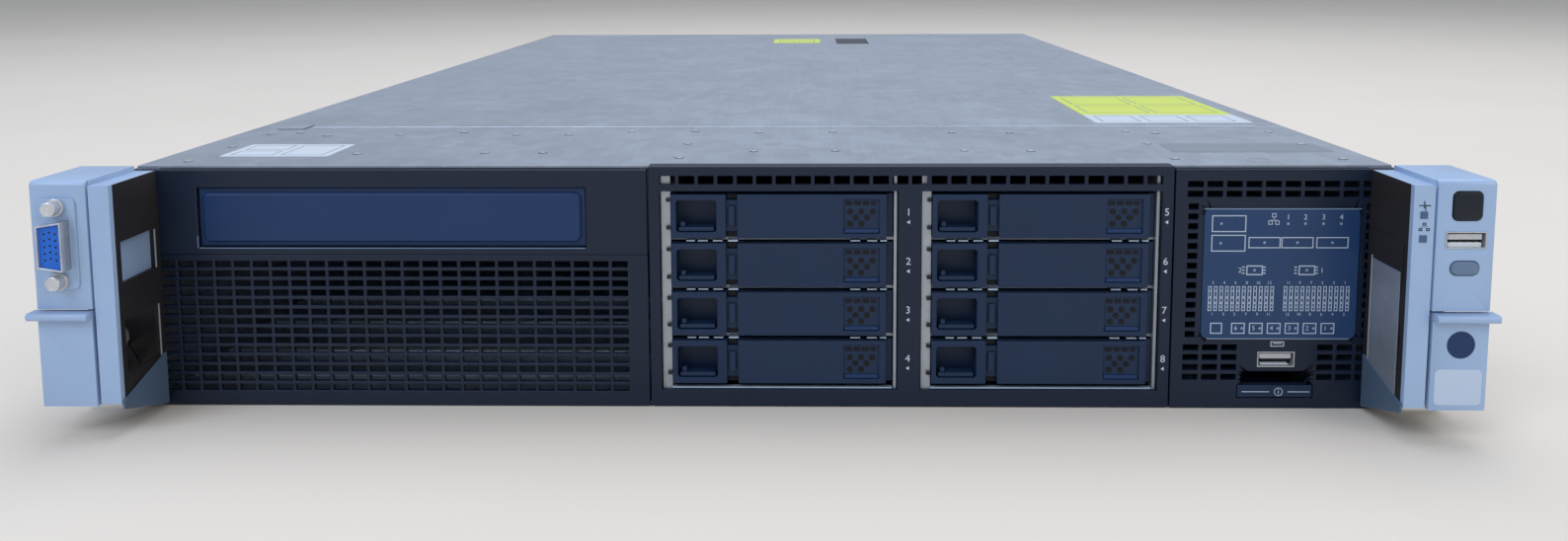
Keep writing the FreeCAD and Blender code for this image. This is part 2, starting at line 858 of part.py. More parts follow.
def ear_cap(holes):
    """Plastic cap: a hollow upper box, a groove, and a strip down its inner side."""
    front = -ear_depth
    main_x0 = ear_strip_outer + 0.9
    upper = block(ear_strip_inner, ear_outer, front, -bracket_sheet, cap_low, ear_top)
    rounded = [e for e in upper.Edges
               if abs(e.CenterOfMass.y - front) < 0.01 and e.CenterOfMass.z > ear_top - 0.1]
    upper = upper.makeFillet(ear_top_radius, rounded)
    side = [e for e in upper.Edges if e.BoundBox.ZLength > 20 and e.CenterOfMass.x > ear_outer - 0.1
            and e.CenterOfMass.y < front + 1]
    upper = upper.makeFillet(ear_side_radius, side)
    hollow = block(ear_strip_inner + bracket_sheet + cap_wall, ear_outer - cap_wall, front + cap_wall, 0,
                   cap_low + cap_wall, ear_top - cap_wall)
    wall_room = block(ear_strip_inner - 1, ear_strip_inner + bracket_sheet, front + cap_wall, 0,
                      0, side_bezel_height)
    bezel_room = block(ear_strip_inner - 1, ear_outer + 1, -bracket_sheet - 0.01, 0, side_bezel_height, ear_top + 1)
    groove = block(ear_strip_outer, main_x0, front - 1, front + ear_groove_depth, 0, ear_top + 1)
    lowered = block(ear_strip_inner - 1, ear_strip_outer, front - 1, 1, ear_strip_top, ear_top + 1)
    strip = block(ear_strip_inner, ear_strip_outer, front, front + cap_wall, ear_strip_low, cap_low)
    cap = fuse([upper, strip])
    return cut(cap, [hollow, wall_room, bezel_room, groove, lowered] + holes)


def lever():
    """Quick-release lever: front plate, finger ledge, two cheeks and a hinge pin between two lugs."""
    x0, x1, z0, z1 = lever_box()
    front = -ear_depth
    plate = block(x0, x1, front, front + lever_plate, z0, z1 - lever_ledge_height)
    ledge = block(x0, x1 + lever_ledge_reach, front - lever_ledge_rise, front + lever_plate,
                  z1 - lever_ledge_height, z1)
    nose = [e for e in ledge.Edges if e.BoundBox.XLength > 10 and e.CenterOfMass.y < front - 1]
    ledge = ledge.makeFillet(lever_ledge_height * 0.45, nose)
    pin_y, pin_z = lever_pin()
    middle = hinge_arm_middle()
    inner = hinge_arm_width / 2 + slide_gap
    pieces = [plate, ledge]
    for side in (-1, 1):
        a, b = sorted((middle + side * inner, middle + side * (inner + lever_lug_width)))
        pieces.append(block(a, b, front + lever_plate, pin_y + lever_pin_radius + 0.8,
                            pin_z - hinge_arm_radius, pin_z + hinge_arm_radius))
        pieces.append(block(*sorted((middle + side * lever_rib_place, middle + side * (lever_rib_place + 1.4))),
                            front + lever_plate, front + lever_plate + lever_rib_depth, z0 + 9, z1 - 4))
    pieces.append(rod(lever_pin_radius, Vec(middle - inner - 1, pin_y, pin_z), Vec(middle + inner + 1, pin_y, pin_z)))
    return fuse(pieces)


def rack_screw():
    """Captive screw behind the lever, drawn back level with the flange."""
    middle = hinge_arm_middle()
    head = prism_y(screw_head_radius, 12, middle, -bracket_sheet - screw_head_depth, -bracket_sheet, screw_height)
    slot = block(middle - 0.6, middle + 0.6, -bracket_sheet - screw_head_depth - 1,
                 -bracket_sheet - screw_head_depth + 1.4, screw_height - 6, screw_height + 6)
    shank = rod_y(screw_shank_radius, middle, -bracket_sheet, 0, screw_height)
    return fuse([head.cut(slot), shank])


def main_panel_middle():
    """Middle of the wide part of an ear."""
    return (ear_strip_outer + 0.9 + ear_outer) / 2


def ear_button(outline_of, middle_z):
    """A button with a flange behind the cap's front wall."""
    front = -ear_depth
    face = sheet_xz(outline_of(0.0), [], front - button_rise, front + cap_wall + button_gap + 0.1)
    rim = [e for e in face.Edges if e.BoundBox.YMax < front - button_rise + 0.01]
    face = face.makeChamfer(button_rise * 0.5, rim)
    flange_front = front + cap_wall + button_gap
    flange = sheet_xz(outline_of(button_flange), [], flange_front, flange_front + button_flange)
    return fuse([face, flange])


def power_outline(gap):
    """Rounded square of the power button, larger by the gap."""
    half = power_button_size / 2 + gap
    middle = main_panel_middle()
    return rounded_xz(middle - half, middle + half, power_button_centre_z - half,
                      power_button_centre_z + half, 1.8 + gap)


def locator_outline(gap):
    """Long round button, larger by the gap."""
    half_x = locator_button_width / 2 + gap
    half_z = locator_button_height / 2 + gap
    middle = main_panel_middle()
    return rounded_xz(middle - half_x, middle + half_x, locator_button_centre_z - half_z,
                      locator_button_centre_z + half_z, half_z * 0.98)


def ear_usb_place():
    """Middle of the port in the right ear in x."""
    return main_panel_middle()


def right_cap_holes():
    """Holes in the right cap: two buttons and a port, and seats for two lenses."""
    front = -ear_depth
    holes = [sheet_xz(power_outline(button_gap), [], front - 1, front + cap_wall + 1),
             sheet_xz(locator_outline(button_gap), [], front - 1, front + cap_wall + 1),
             sheet_xz(usb_opening(ear_usb_place(), ear_usb_centre_z, 0.0), [], front - 1, front + cap_wall + 1)]
    for z in lens_places:
        x = (ear_strip_inner + ear_strip_outer) / 2
        holes.append(block(x - lens_size / 2, x + lens_size / 2, front - 1, front + cap_wall - 0.6,
                           z - lens_size / 2, z + lens_size / 2))
    return holes


def indicator_lens(z):
    """A small square lens seated in the strip of the right cap."""
    front = -ear_depth
    x = (ear_strip_inner + ear_strip_outer) / 2
    return block(x - lens_size / 2, x + lens_size / 2, front - lens_rise, front + cap_wall - 0.6,
                 z - lens_size / 2, z + lens_size / 2)


def d_outline(middle_x, middle_z, width, height, taper):
    """Upright D-shaped outline: the side towards the chassis is the longer one."""
    half_x, half_z = width / 2, height / 2
    return polygon_xz([
        (middle_x - half_x, middle_z - half_z + taper), (middle_x + half_x, middle_z - half_z),
        (middle_x + half_x, middle_z + half_z), (middle_x - half_x, middle_z + half_z - taper)])


def video_connector():
    """Upright video connector: plate, D-shaped shell and two jackscrews."""
    x = -main_panel_middle()
    z = video_centre_z
    front = -ear_depth
    half = video_plate_width / 2
    plate = sheet_xz(rounded_xz(x - half, x + half, z - video_plate_height / 2, z + video_plate_height / 2, 2),
                     [d_outline(x, z, video_shell_width - 1, video_shell_height - 1, 1.2)],
                     front - video_plate_sheet, front)
    shell = sheet_xz(d_outline(x, z, video_shell_width, video_shell_height, 1.2),
                     [d_outline(x, z, video_shell_width - 1, video_shell_height - 1, 1.2)],
                     front - video_rise, front)
    connector = fuse([plate, shell])
    screws = []
    for side in (-1, 1):
        screw_z = z + side * video_screw_spacing / 2
        hexagon = Part.makePolygon([Vec(x + jackscrew_radius * cos(k * pi / 3), 0,
                                        screw_z + jackscrew_radius * sin(k * pi / 3)) for k in range(7)])
        body = sheet_xz(hexagon, [], front - video_rise + 0.6, front - video_plate_sheet)
        thread = rod_y(1.4, x, front - video_rise, front - video_plate_sheet - 1.5, screw_z)
        screws.append(body.cut(thread))
    return [connector] + screws


def video_insert():
    """Blue insulator inside the D-shaped shell, with its rear block behind the cap's wall."""
    x = -main_panel_middle()
    front = -ear_depth
    core = sheet_xz(d_outline(x, video_centre_z, video_shell_width - 1, video_shell_height - 1, 1.2), [],
                    front - video_rise + 1.0, front + cap_wall)
    return core


def left_cap_holes():
    """Hole in the left cap behind the video connector."""
    front = -ear_depth
    shell = d_outline(main_panel_middle(), video_centre_z, video_shell_width - 1, video_shell_height - 1, 1.2)
    hole = sheet_xz(shell, [], front - 1, front + cap_wall + 1)
    return [mirror_d(hole)]


def mirror_d(solid):
    """Turn a D-shaped hole over about the middle of the ear, so that it fits after the cap is mirrored."""
    return solid.mirror(Vec(main_panel_middle(), 0, 0), Vec(1, 0, 0))


def rail_studs():
    """Headed studs on the side walls, for slide rails."""
    studs = []
    for side in (-1, 1):
        for i in range(studs_each_side):
            y = stud_first + i * stud_spacing
            neck_end = side * (half_width + stud_reach)
            neck = rod(stud_radius, Vec(side * half_width, y, stud_height), Vec(neck_end, y, stud_height))
            head = prism_y(stud_head_radius, 8, 0, 0, stud_head_sheet, 0)
            head.rotate(Vec(0, 0, 0), Vec(0, 0, 1), -90 * side)
            head.translate(Vec(neck_end, y, stud_height))
            studs.append(fuse([neck, head]))
    return studs


# ---------------------------------------------------------------- system board and cooling

def supply_left():
    """Outer side of the power supplies in x, clear of the hood's lip."""
    return -wall_inner + slide_gap + cover_sheet + supply_gap


def supply_side():
    """Partition's face beside the power supplies in x."""
    return supply_left() + supply_width + supply_gap


def system_board():
    """L-shaped board: full width at the front, beside the power supplies at the rear."""
    left = -wall_inner + board_edge
    right = wall_inner - board_edge
    inner = supply_side() + supply_bay_sheet + board_edge
    middle = supply_bay_front() - board_edge
    rear = body_depth - rear_sheet - board_edge
    points = [(left, board_front), (right, board_front), (right, rear), (inner, rear),
              (inner, middle), (left, middle)]
    corners = [Vec(x, y, board_height) for x, y in points]
    face = Part.Face(Part.makePolygon(corners + corners[:1]))
    return face.extrude(Vec(0, 0, board_sheet))


def heatsink(x):
    """Processor socket, base and upright fins along the airflow."""
    low = board_height + board_sheet
    y0, y1 = processor_y - heatsink_depth / 2, processor_y + heatsink_depth / 2
    x0, x1 = x - heatsink_width / 2, x + heatsink_width / 2
    seat = block(x - 30, x + 30, processor_y - 30, processor_y + 30, low, low + socket_sheet)
    base = block(x0, x1, y0, y1, low + socket_sheet, low + socket_sheet + heatsink_base)
    pitch = (heatsink_width - heatsink_fin) / (heatsink_fins - 1)
    fins = [block(x0 + i * pitch, x0 + i * pitch + heatsink_fin, y0, y1,
                  low + socket_sheet + heatsink_base, low + heatsink_height) for i in range(heatsink_fins)]
    return fuse([seat, base] + fins)


def module_places():
    """Middle of each memory module in x: a bank on each side of each processor."""
    bank = (modules_per_row - 1) * module_pitch
    places = []
    for processor in (-processor_x, processor_x):
        for side in (-1, 1):
            first = processor + side * (heatsink_width / 2 + module_pitch) - (bank if side < 0 else 0)
            places += [first + i * module_pitch for i in range(modules_per_row)]
    return places


def memory_sockets():
    """Sockets in rows on the board."""
    low = board_height + board_sheet
    y0, y1 = processor_y - module_length / 2 - 4, processor_y + module_length / 2 + 4
    return [block(x - memory_socket_width / 2, x + memory_socket_width / 2, y0, y1,
                  low, low + memory_socket_height) for x in module_places()]


def memory_modules():
    """Upright memory modules on their sockets."""
    low = board_height + board_sheet + memory_socket_height
    y0, y1 = processor_y - module_length / 2, processor_y + module_length / 2
    return [block(x - module_sheet / 2, x + module_sheet / 2, y0, y1, low, low + module_height)
            for x in module_places()]


def air_baffle():
    """Moulded duct over the processors and memory, open at both ends, standing on the board."""
    half = wall_inner - board_edge - 4
    y0 = board_front + 4
    y1 = y0 + baffle_depth
    low = board_height + board_sheet
    outer = block(-half, half, y0, y1, low, baffle_top)
    inner = block(-half + baffle_sheet, half - baffle_sheet, y0 - 1, y1 + 1, low - 1, baffle_top - baffle_sheet)
    duct = outer.cut(inner)
    top_edges = [e for e in duct.Edges if e.BoundBox.YLength > 50 and e.CenterOfMass.z > baffle_top - 0.1]
    return duct.makeChamfer(6 * baffle_sheet / 8, top_edges)


def fan_middles():
    """Middles of the fans in x."""
    first = -(fan_count - 1) * fan_pitch / 2
    return [first + i * fan_pitch for i in range(fan_count)]


def fan_middle_z():
    """Height of the fan axes."""
    return fan_floor + fan_size / 2


def fan_frame(x):
    """Square frame with a round duct, struts and a motor cup with a shaft."""
    z = fan_middle_z()
    half = fan_size / 2
    y1 = fan_front + fan_depth
    frame = block(x - half, x + half, fan_front, y1, z - half, z + half)
    duct = prism_y(fan_bore_radius, 16, x, fan_front - 1, y1 + 1, z)
    strut = block(x - fan_bore_radius - 1, x + fan_bore_radius + 1, y1 - fan_strut, y1,
                  z - fan_strut / 2, z + fan_strut / 2)
    motor = prism_y(fan_motor_radius, 8, x, y1 - fan_strut * 2, y1, z)
    shaft = rod_y(fan_shaft_radius, x, fan_front + fan_shaft_inset, y1 - fan_strut * 2, z)
    return fuse([frame.cut(duct), strut, motor, shaft])


def impeller(x, z, y0, y1, tip_radius, hub_radius, shaft_radius, blades, blade_sheet, degrees):
    """Hub with flat pitched blades, bored for its shaft."""
    hub = prism_y(hub_radius, 2 * blades, x, y0, y1, z)
    middle_y = (y0 + y1) / 2
    reach = ((y1 - y0) - blade_sheet) / 2 / cos(radians(degrees)) * 0.96
    half_chord = reach * sin(radians(degrees)) + blade_sheet
    tip = (tip_radius ** 2 - half_chord ** 2) ** 0.5
    wings = []
    for k in range(blades):
        wing = Part.makeBox(tip - hub_radius / 2, reach * 2, blade_sheet,
                            Vec(hub_radius / 2, -reach, -blade_sheet / 2))
        wing.rotate(Vec(0, 0, 0), Vec(1, 0, 0), degrees)
        wing.translate(Vec(x, middle_y, z))
        wing.rotate(Vec(x, 0, z), Vec(0, 1, 0), 360.0 * k / blades)
        wings.append(wing)
    bore = rod_y(shaft_radius + pin_gap, x, y0 - 1, y1 + 1, z)
    return fuse([hub] + wings).cut(bore)


def fan_rotor(x):
    """Impeller of one cooling fan."""
    y0 = fan_front + fan_rotor_inset
    y1 = fan_front + fan_depth - fan_strut * 2 - 2 * slide_gap
    return impeller(x, fan_middle_z(), y0, y1, fan_tip_radius, fan_hub_radius, fan_shaft_radius,
                    fan_blades, fan_blade_sheet, fan_blade_degrees)


def fan_cage():
    """Bent partition that carries the fans, open in front of and behind each of them."""
    y0 = fan_front - fan_cage_sheet - 4
    y1 = fan_front + fan_depth + 4
    half = wall_inner
    z = fan_middle_z()
    top = z + fan_size / 2 + slide_gap
    wall_holes = [rectangle_xz(x - fan_bore_radius, x + fan_bore_radius, z - fan_bore_radius,
                               z + fan_bore_radius) for x in fan_middles()]
    outline = rectangle_xz(-half, half, tray_sheet, body_height - fan_cage_margin)
    front = sheet_xz(outline, wall_holes, y0, y0 + fan_cage_sheet)
    floor = block(-half, half, y0, y1, tray_sheet, tray_sheet + fan_cage_sheet)
    seats = [block(x - fan_size / 2, x + fan_size / 2, fan_front + 6 * k, fan_front + 6 * k + 4,
                   tray_sheet + fan_cage_sheet, fan_floor) for x in fan_middles() for k in (0, 5)]
    ends = [block(x, x + fan_cage_sheet, y0, y1, tray_sheet, top) for x in (-half, half - fan_cage_sheet)]
    return fuse([front, floor] + seats + ends)


# ---------------------------------------------------------------- rear of the server

def slot_middles():
    """Heights of the expansion slots, lowest first."""
    return [riser_slot_low + riser_slot_height / 2 + i * riser_slot_pitch for i in range(riser_slots)]


def d_plate_xz(x):
    """Opening for the shell of a rear D connector."""
    return rectangle_xz(x - rear_d_shell_width / 2, x + rear_d_shell_width / 2,
                        port_row_centre - rear_d_shell_height / 2, port_row_centre + rear_d_shell_height / 2)


def jack_middles():
    """Middles of the network jacks in x, with the management jack first."""
    return [jacks_first_x + i * jack_pitch for i in range(network_jacks)]


def jack_gang_box():
    """Outline of the gang of network jacks: x0, x1, z0, z1."""
    middles = jack_middles()
    return (middles[0] - jack_width / 2, middles[-1] + jack_width / 2,
            port_row_centre - jack_height / 2, port_row_centre + jack_height / 2)


def usb_pair_heights():
    """Heights of the two ports of a rear stack."""
    half = usb_height / 2 + 0.9
    return (port_row_centre - half, port_row_centre + half)


def rear_panel():
    """Rear wall: openings for the supplies, the slot covers and each port, and vent slots."""
    holes = [rectangle_xz(supply_left() - supply_gap, supply_side(), supply_low - supply_gap,
                          supply_low + supply_pitch + supply_height + supply_gap)]
    for slot_left in (riser_1_left, riser_2_left):
        holes += [rectangle_xz(slot_left, slot_left + riser_slot_width, z - riser_slot_height / 2,
                               z + riser_slot_height / 2) for z in slot_middles()]
    holes.append(rectangle_xz(*jack_gang_box()))
    holes += [usb_opening(rear_usb_x, z, 0.0) for z in usb_pair_heights()]
    holes += [d_plate_xz(x) for x in (rear_serial_x, rear_video_x)]
    vent_first = jacks_first_x + network_jacks * jack_pitch + 8
    holes += slot_grid(vent_first, wall_inner - 14, 8.0, 4.0, [18.0, 13.0], 3.0)
    outline = rectangle_xz(-half_width, half_width, 0, wall_top - rear_top_gap)
    return sheet_xz(outline, holes, body_depth - rear_sheet, body_depth)


def slot_cover(left, z):
    """Blank bracket of one expansion slot, behind the rear panel, with its air slots."""
    rear = body_depth - rear_sheet
    wide = riser_slot_width + 2 * cover_tab
    half = riser_slot_height / 2 + cover_overlap
    outline = rectangle_xz(left - cover_tab, left - cover_tab + wide, z - half, z + half)
    vent_pitch = riser_slot_width / cover_vents
    vents = [rectangle_xz(left + (i + 0.15) * vent_pitch, left + (i + 0.85) * vent_pitch,
                          z - cover_vent_height / 2, z + cover_vent_height / 2) for i in range(cover_vents)]
    return sheet_xz(outline, vents, rear - cage_sheet, rear)


def riser_cage(left):
    """Folded cage: a top, one side wall with shelves, and a foot on the board."""
    rear = body_depth - rear_sheet - cage_sheet
    front = rear - riser_depth
    x0 = left - cover_tab - riser_sheet
    x1 = left + riser_slot_width + cover_tab
    low = board_height + board_sheet
    top = cover_low - hood_lip_height / 4
    port_zone = rear - jack_depth - riser_sheet
    side = fuse([block(x0, x0 + riser_sheet, front, port_zone, low, top),
                 block(x0, x0 + riser_sheet, port_zone, rear, riser_slot_low - riser_sheet, top)])
    roof = block(x0, x1, front, rear - 20, top - riser_sheet, top)
    board = block(x0 + riser_sheet, x0 + riser_sheet + board_sheet, front + 10, rear - 40, low, top - riser_sheet)
    plugs = [block(x0 + riser_sheet + board_sheet, x0 + riser_sheet + board_sheet + 11, front + 20, front + 110,
                   z - 4, z + 4) for z in slot_middles()]
    return fuse([side, roof, board] + plugs)


def network_jacks_gang():
    """One shell with a square mouth for each network plug, standing in the rear panel's opening."""
    x0, x1, z0, z1 = jack_gang_box()
    shell = block(x0, x1, body_depth - jack_depth, body_depth, z0, z1)
    half_x, half_z = jack_mouth_width / 2, jack_mouth_height / 2
    mouths = [block(x - half_x, x + half_x, body_depth - jack_mouth_depth, body_depth + 1,
                    port_row_centre - half_z, port_row_centre + half_z) for x in jack_middles()]
    return cut(shell, mouths)


def rear_d_connector(x):
    """Serial or video connector with a flange outside the rear panel and a shell."""
    z = port_row_centre
    rear = body_depth
    half_x, half_z = rear_d_shell_width / 2, rear_d_shell_height / 2
    shell = Part.makePolygon([Vec(x - half_x, 0, z + half_z), Vec(x + half_x, 0, z + half_z),
                              Vec(x + half_x - 1.4, 0, z - half_z), Vec(x - half_x + 1.4, 0, z - half_z),
                              Vec(x - half_x, 0, z + half_z)])
    flange = sheet_xz(rectangle_xz(x - rear_d_width / 2, x + rear_d_width / 2, z - rear_d_height / 2,
                                   z + rear_d_height / 2), [], rear, rear + 0.8)
    core = sheet_xz(shell, [], rear - 12, rear + rear_d_rise - 1)
    rim = sheet_xz(shell, [rectangle_xz(x - half_x + 2, x + half_x - 2, z - half_z + 0.5, z + half_z - 0.5)],
                   rear + 0.8, rear + rear_d_rise)
    nuts = [rod_y(2.4, x + side * 12.5, rear + 0.8, rear + 4.5, z) for side in (-1, 1)]
    return fuse([flange, core, rim] + nuts)


def rear_ports():
    """A stack of two ports, and the serial and video connectors."""
    solids = []
    for z in usb_pair_heights():
        port = usb_port(rear_usb_x, -0.3, z)
        solids.append(port.mirror(Vec(0, 0, 0), Vec(0, 1, 0)).translate(Vec(0, body_depth, 0)))
    solids += [rear_d_connector(x) for x in (rear_serial_x, rear_video_x)]
    return solids


def supply_bay():
    """Sheet partition beside and between the two supplies."""
    front = supply_bay_front()
    rear = body_depth - rear_sheet
    side = supply_side()
    high = cover_low - hood_lip_height - slide_gap
    wall = block(side, side + supply_bay_sheet, front, rear, tray_sheet, high)
    shelf_top = supply_low + supply_height + supply_gap + supply_bay_sheet
    shelf_plate = block(-wall_inner, side, front, rear, shelf_top - supply_bay_sheet, shelf_top)
    front_wall = block(-wall_inner, side + supply_bay_sheet, front - supply_bay_sheet, front, tray_sheet, high)
    return fuse([wall, shelf_plate, front_wall])


def supply_origin(number):
    """Left, rear and lower corner of a supply; number 0 is the lower one."""
    left = supply_left()
    return left, body_depth - supply_rear_set, supply_low + number * supply_pitch


def supply(number):
    """Power supply: sheet case, fan duct with a cross, mains inlet and a bent handle."""
    left, rear, low = supply_origin(number)
    right = left + supply_width
    high = low + supply_height
    middle = (low + high) / 2
    solid_case = block(left, right, rear - supply_depth, rear, low, high)
    hollow = block(left + supply_sheet, right - supply_sheet, rear - supply_depth - 1,
                   rear - supply_fan_depth - supply_sheet, low + supply_sheet, high - supply_sheet)
    case = solid_case.cut(hollow)
    fan_x = left + supply_fan_x
    duct = prism_y(supply_fan_radius, 16, fan_x, rear - supply_fan_depth, rear + 1, middle)
    inlet_x = left + supply_inlet_x
    half_x, half_z = supply_inlet_width / 2, supply_inlet_height / 2
    inlet = sheet_xz(polygon_xz([(inlet_x - half_x, middle - half_z), (inlet_x + half_x, middle - half_z),
                                 (inlet_x + half_x, middle + half_z - 5), (inlet_x + half_x - 5, middle + half_z),
                                 (inlet_x - half_x + 5, middle + half_z), (inlet_x - half_x, middle + half_z - 5)]),
                     [], rear - supply_inlet_depth, rear + 1)
    pins = [block(inlet_x + k * 7 - 1, inlet_x + k * 7 + 1, rear - supply_inlet_depth - 1, rear - 3,
                  middle - 2, middle + 2) for k in (-1, 0, 1)]
    arms = [block(fan_x - supply_fan_radius - 1, fan_x + supply_fan_radius + 1, rear - 1.5, rear,
                  middle - 1.2, middle + 1.2),
            block(fan_x - 1.2, fan_x + 1.2, rear - 1.5, rear, middle - supply_fan_radius - 1,
                  middle + supply_fan_radius + 1)]
    shaft = rod_y(supply_shaft_radius, fan_x, rear - supply_fan_depth - 1, rear - 1, middle)
    handle_x = fan_x
    x0, x1 = handle_x - supply_handle_width / 2, handle_x + supply_handle_width / 2
    bar = supply_handle_bar
    reach = rear + supply_handle_reach
    handle = [block(x0, x0 + bar, rear, reach, middle - bar / 2, middle + bar / 2),
              block(x1 - bar, x1, rear, reach, middle - bar / 2, middle + bar / 2),
              block(x0, x1, reach - bar, reach, middle - bar / 2, middle + bar / 2)]
    lug_x, lug_y = supply_latch_place(number)
    lug = block(lug_x - 1, lug_x + 2, rear, lug_y, middle - supply_latch_height / 2 - 2.5,
                middle + supply_latch_height / 2 + 2.5)
    room = block(lug_x - 4, lug_x + 5, rear, lug_y + 5, middle - supply_latch_height / 2 - slide_gap,
                 middle + supply_latch_height / 2 + slide_gap)
    eyes = block(lug_x - 2.4, lug_x + 2.4, rear, lug_y + 2.4, middle - supply_latch_height / 2 - 2.5,
                 middle + supply_latch_height / 2 + 2.5)
    hole = rod(supply_latch_pin + pin_gap, Vec(lug_x, lug_y, low - 1), Vec(lug_x, lug_y, high + 1))
    hinge = cut(fuse([lug, eyes]), [room, hole])
    whole = fuse([cut(case, [duct, inlet])] + pins + arms + [shaft] + handle)
    return whole.fuse(hinge)


def supply_latch_place(number):
    """Pivot of a supply's release latch in x and y."""
    left, rear, low = supply_origin(number)
    return left + supply_width - 6, rear + 4.2


def supply_latch(number):
    """Release latch: an upright tongue on a pin, pressed towards the inlet to free the supply."""
    left, rear, low = supply_origin(number)
    middle = low + supply_height / 2
    x, y = supply_latch_place(number)
    half = supply_latch_height / 2
    plate = block(x - 1.6, x + 1.6, y - 1.6, y + supply_latch_reach, middle - half, middle + half)
    end = block(x - 4, x + 1.6, y + supply_latch_reach - 2, y + supply_latch_reach, middle - half, middle + half)
    pin = rod(supply_latch_pin, Vec(x, y, middle - half - 2.4), Vec(x, y, middle + half + 2.4))
    return fuse([plate, end, pin])


def supply_rotor(number):
    """Impeller of a supply's own fan."""
    left, rear, low = supply_origin(number)
    y0 = rear - supply_fan_depth + 4
    middle = low + supply_height / 2
    return impeller(left + supply_fan_x, middle, y0, y0 + supply_rotor_depth, supply_rotor_radius,
                    supply_hub_radius, supply_shaft_radius, 5, 1.4, fan_blade_degrees)


# ---------------------------------------------------------------- writing the pieces

os.makedirs("parts", exist_ok=True)

save("chassis_tray", [chassis_tray()])
save("front_top_cover", [front_top_cover()])
save("access_panel", [access_panel()])
save("latch_housing", [latch_housing()])
save("hood_latch", [hood_latch()])
save("media_bay_frame", [media_bay_frame()])
save("media_bay_grille", [media_bay_grille()])
save("media_bay_blank", [media_bay_blank()])
save("drive_bay_bezel", [drive_bay_bezel()])
save("drive_cage", [drive_cage()])
save("drive_backplane", drive_backplane())
blank_number = 0
for column in columns_left():
    for height in reversed(bay_centres()):
        blank_number += 1
        save("drive_blank_%d" % blank_number, [drive_blank(column, height)])
save("display_bay_bezel", [display_bay_bezel()])
save("display_panel", [display_panel()])
save("info_tab", [info_tab()])
save("front_usb_ports", [usb_port(usb_middle(), -0.3, usb_centre_z),
                         usb_port(ear_usb_place(), -ear_depth - 0.3, ear_usb_centre_z)])
save("ear_brackets", [ear_bracket(), mirror_x(ear_bracket())])
save("right_ear_cap", [ear_cap(right_cap_holes())])
save("left_ear_cap", [mirror_x(ear_cap(left_cap_holes()))])
save("right_lever", [lever()])
save("left_lever", [mirror_x(lever())])
save("rack_screws", [rack_screw(), mirror_x(rack_screw())])
save("power_button", [ear_button(power_outline, power_button_centre_z)])
save("locator_button", [ear_button(locator_outline, locator_button_centre_z)])
save("indicator_lenses", [indicator_lens(z) for z in lens_places])
save("video_connector", video_connector())
save("video_insert", [video_insert()])
save("rail_studs", rail_studs())
save("system_board", [system_board()])
save("processor_heatsinks", [heatsink(-processor_x), heatsink(processor_x)])
save("memory_sockets", memory_sockets())
save("memory_modules", memory_modules())
save("air_baffle", [air_baffle()])
save("fan_cage", [fan_cage()])
save("fan_frames", [fan_frame(x) for x in fan_middles()])
for number, x in enumerate(fan_middles(), 1):
    save("fan_rotor_%d" % number, [fan_rotor(x)])
save("rear_panel", [rear_panel()])
save("slot_covers", [slot_cover(left, z) for left in (riser_1_left, riser_2_left) for z in slot_middles()])
save("riser_cages", [riser_cage(riser_1_left), riser_cage(riser_2_left)])
save("rear_ports", rear_ports())
save("network_jacks", [network_jacks_gang()])
save("supply_bay", [supply_bay()])
for number in (0, 1):
    save("supply_%d" % (number + 1), [supply(number)])
    save("supply_latch_%d" % (number + 1), [supply_latch(number)])
    save("supply_rotor_%d" % (number + 1), [supply_rotor(number)])
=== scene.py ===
from math import cos, radians

import bpy
from mathutils import Matrix, Vector


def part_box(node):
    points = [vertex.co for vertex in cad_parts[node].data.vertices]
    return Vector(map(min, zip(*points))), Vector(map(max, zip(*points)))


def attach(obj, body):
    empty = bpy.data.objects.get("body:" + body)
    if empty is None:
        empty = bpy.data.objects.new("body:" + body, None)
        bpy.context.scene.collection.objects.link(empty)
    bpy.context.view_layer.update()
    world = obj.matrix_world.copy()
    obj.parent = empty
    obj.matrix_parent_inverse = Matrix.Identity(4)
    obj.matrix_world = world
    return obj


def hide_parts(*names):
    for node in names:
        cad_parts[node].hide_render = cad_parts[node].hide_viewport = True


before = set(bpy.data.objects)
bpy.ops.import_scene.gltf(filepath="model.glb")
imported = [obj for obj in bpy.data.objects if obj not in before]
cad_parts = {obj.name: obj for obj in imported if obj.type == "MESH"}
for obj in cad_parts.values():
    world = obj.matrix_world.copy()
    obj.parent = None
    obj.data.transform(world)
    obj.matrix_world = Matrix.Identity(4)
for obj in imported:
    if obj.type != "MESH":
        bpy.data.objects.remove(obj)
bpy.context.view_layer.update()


# ---------------------------------------------------------------- where the server stands
# The server stands alone on a pale matt floor and is seen from in front, just above its lid.
# The room's light is broad and even, a little cool, and comes from above and from behind the viewer.

def linear(code):
    """sRGB hex, such as "#8a8f94", as the linear colour that a shader takes."""
    parts = [int(code[i:i + 2], 16) / 255 for i in (1, 3, 5)]
    return tuple(c / 12.92 if c <= 0.04045 else ((c + 0.055) / 1.055) ** 2.4 for c in parts) + (1,)


def add_node(tree, kind, settings={}, links={}):
    """Adds a shader node: a settings key is one of its properties, or an input's name or number."""
    made = tree.nodes.new("ShaderNode" + kind)
    for key, value in settings.items():
        if isinstance(key, str) and hasattr(made, key):
            setattr(made, key, value)
        else:
            made.inputs[key].default_value = value
    for key, source in links.items():
        tree.links.new(source, made.inputs[key])
    return made


def start_finish(name, settings):
    """A material with its shader set and the object's own coordinates in metres, ready for a pattern."""
    material = bpy.data.materials.new(name)
    material.use_nodes = True
    tree = material.node_tree
    shader = tree.nodes["Principled BSDF"]
    for key, value in settings.items():
        shader.inputs[key].default_value = value
    return material, tree, shader, add_node(tree, "TexCoord").outputs["Object"]


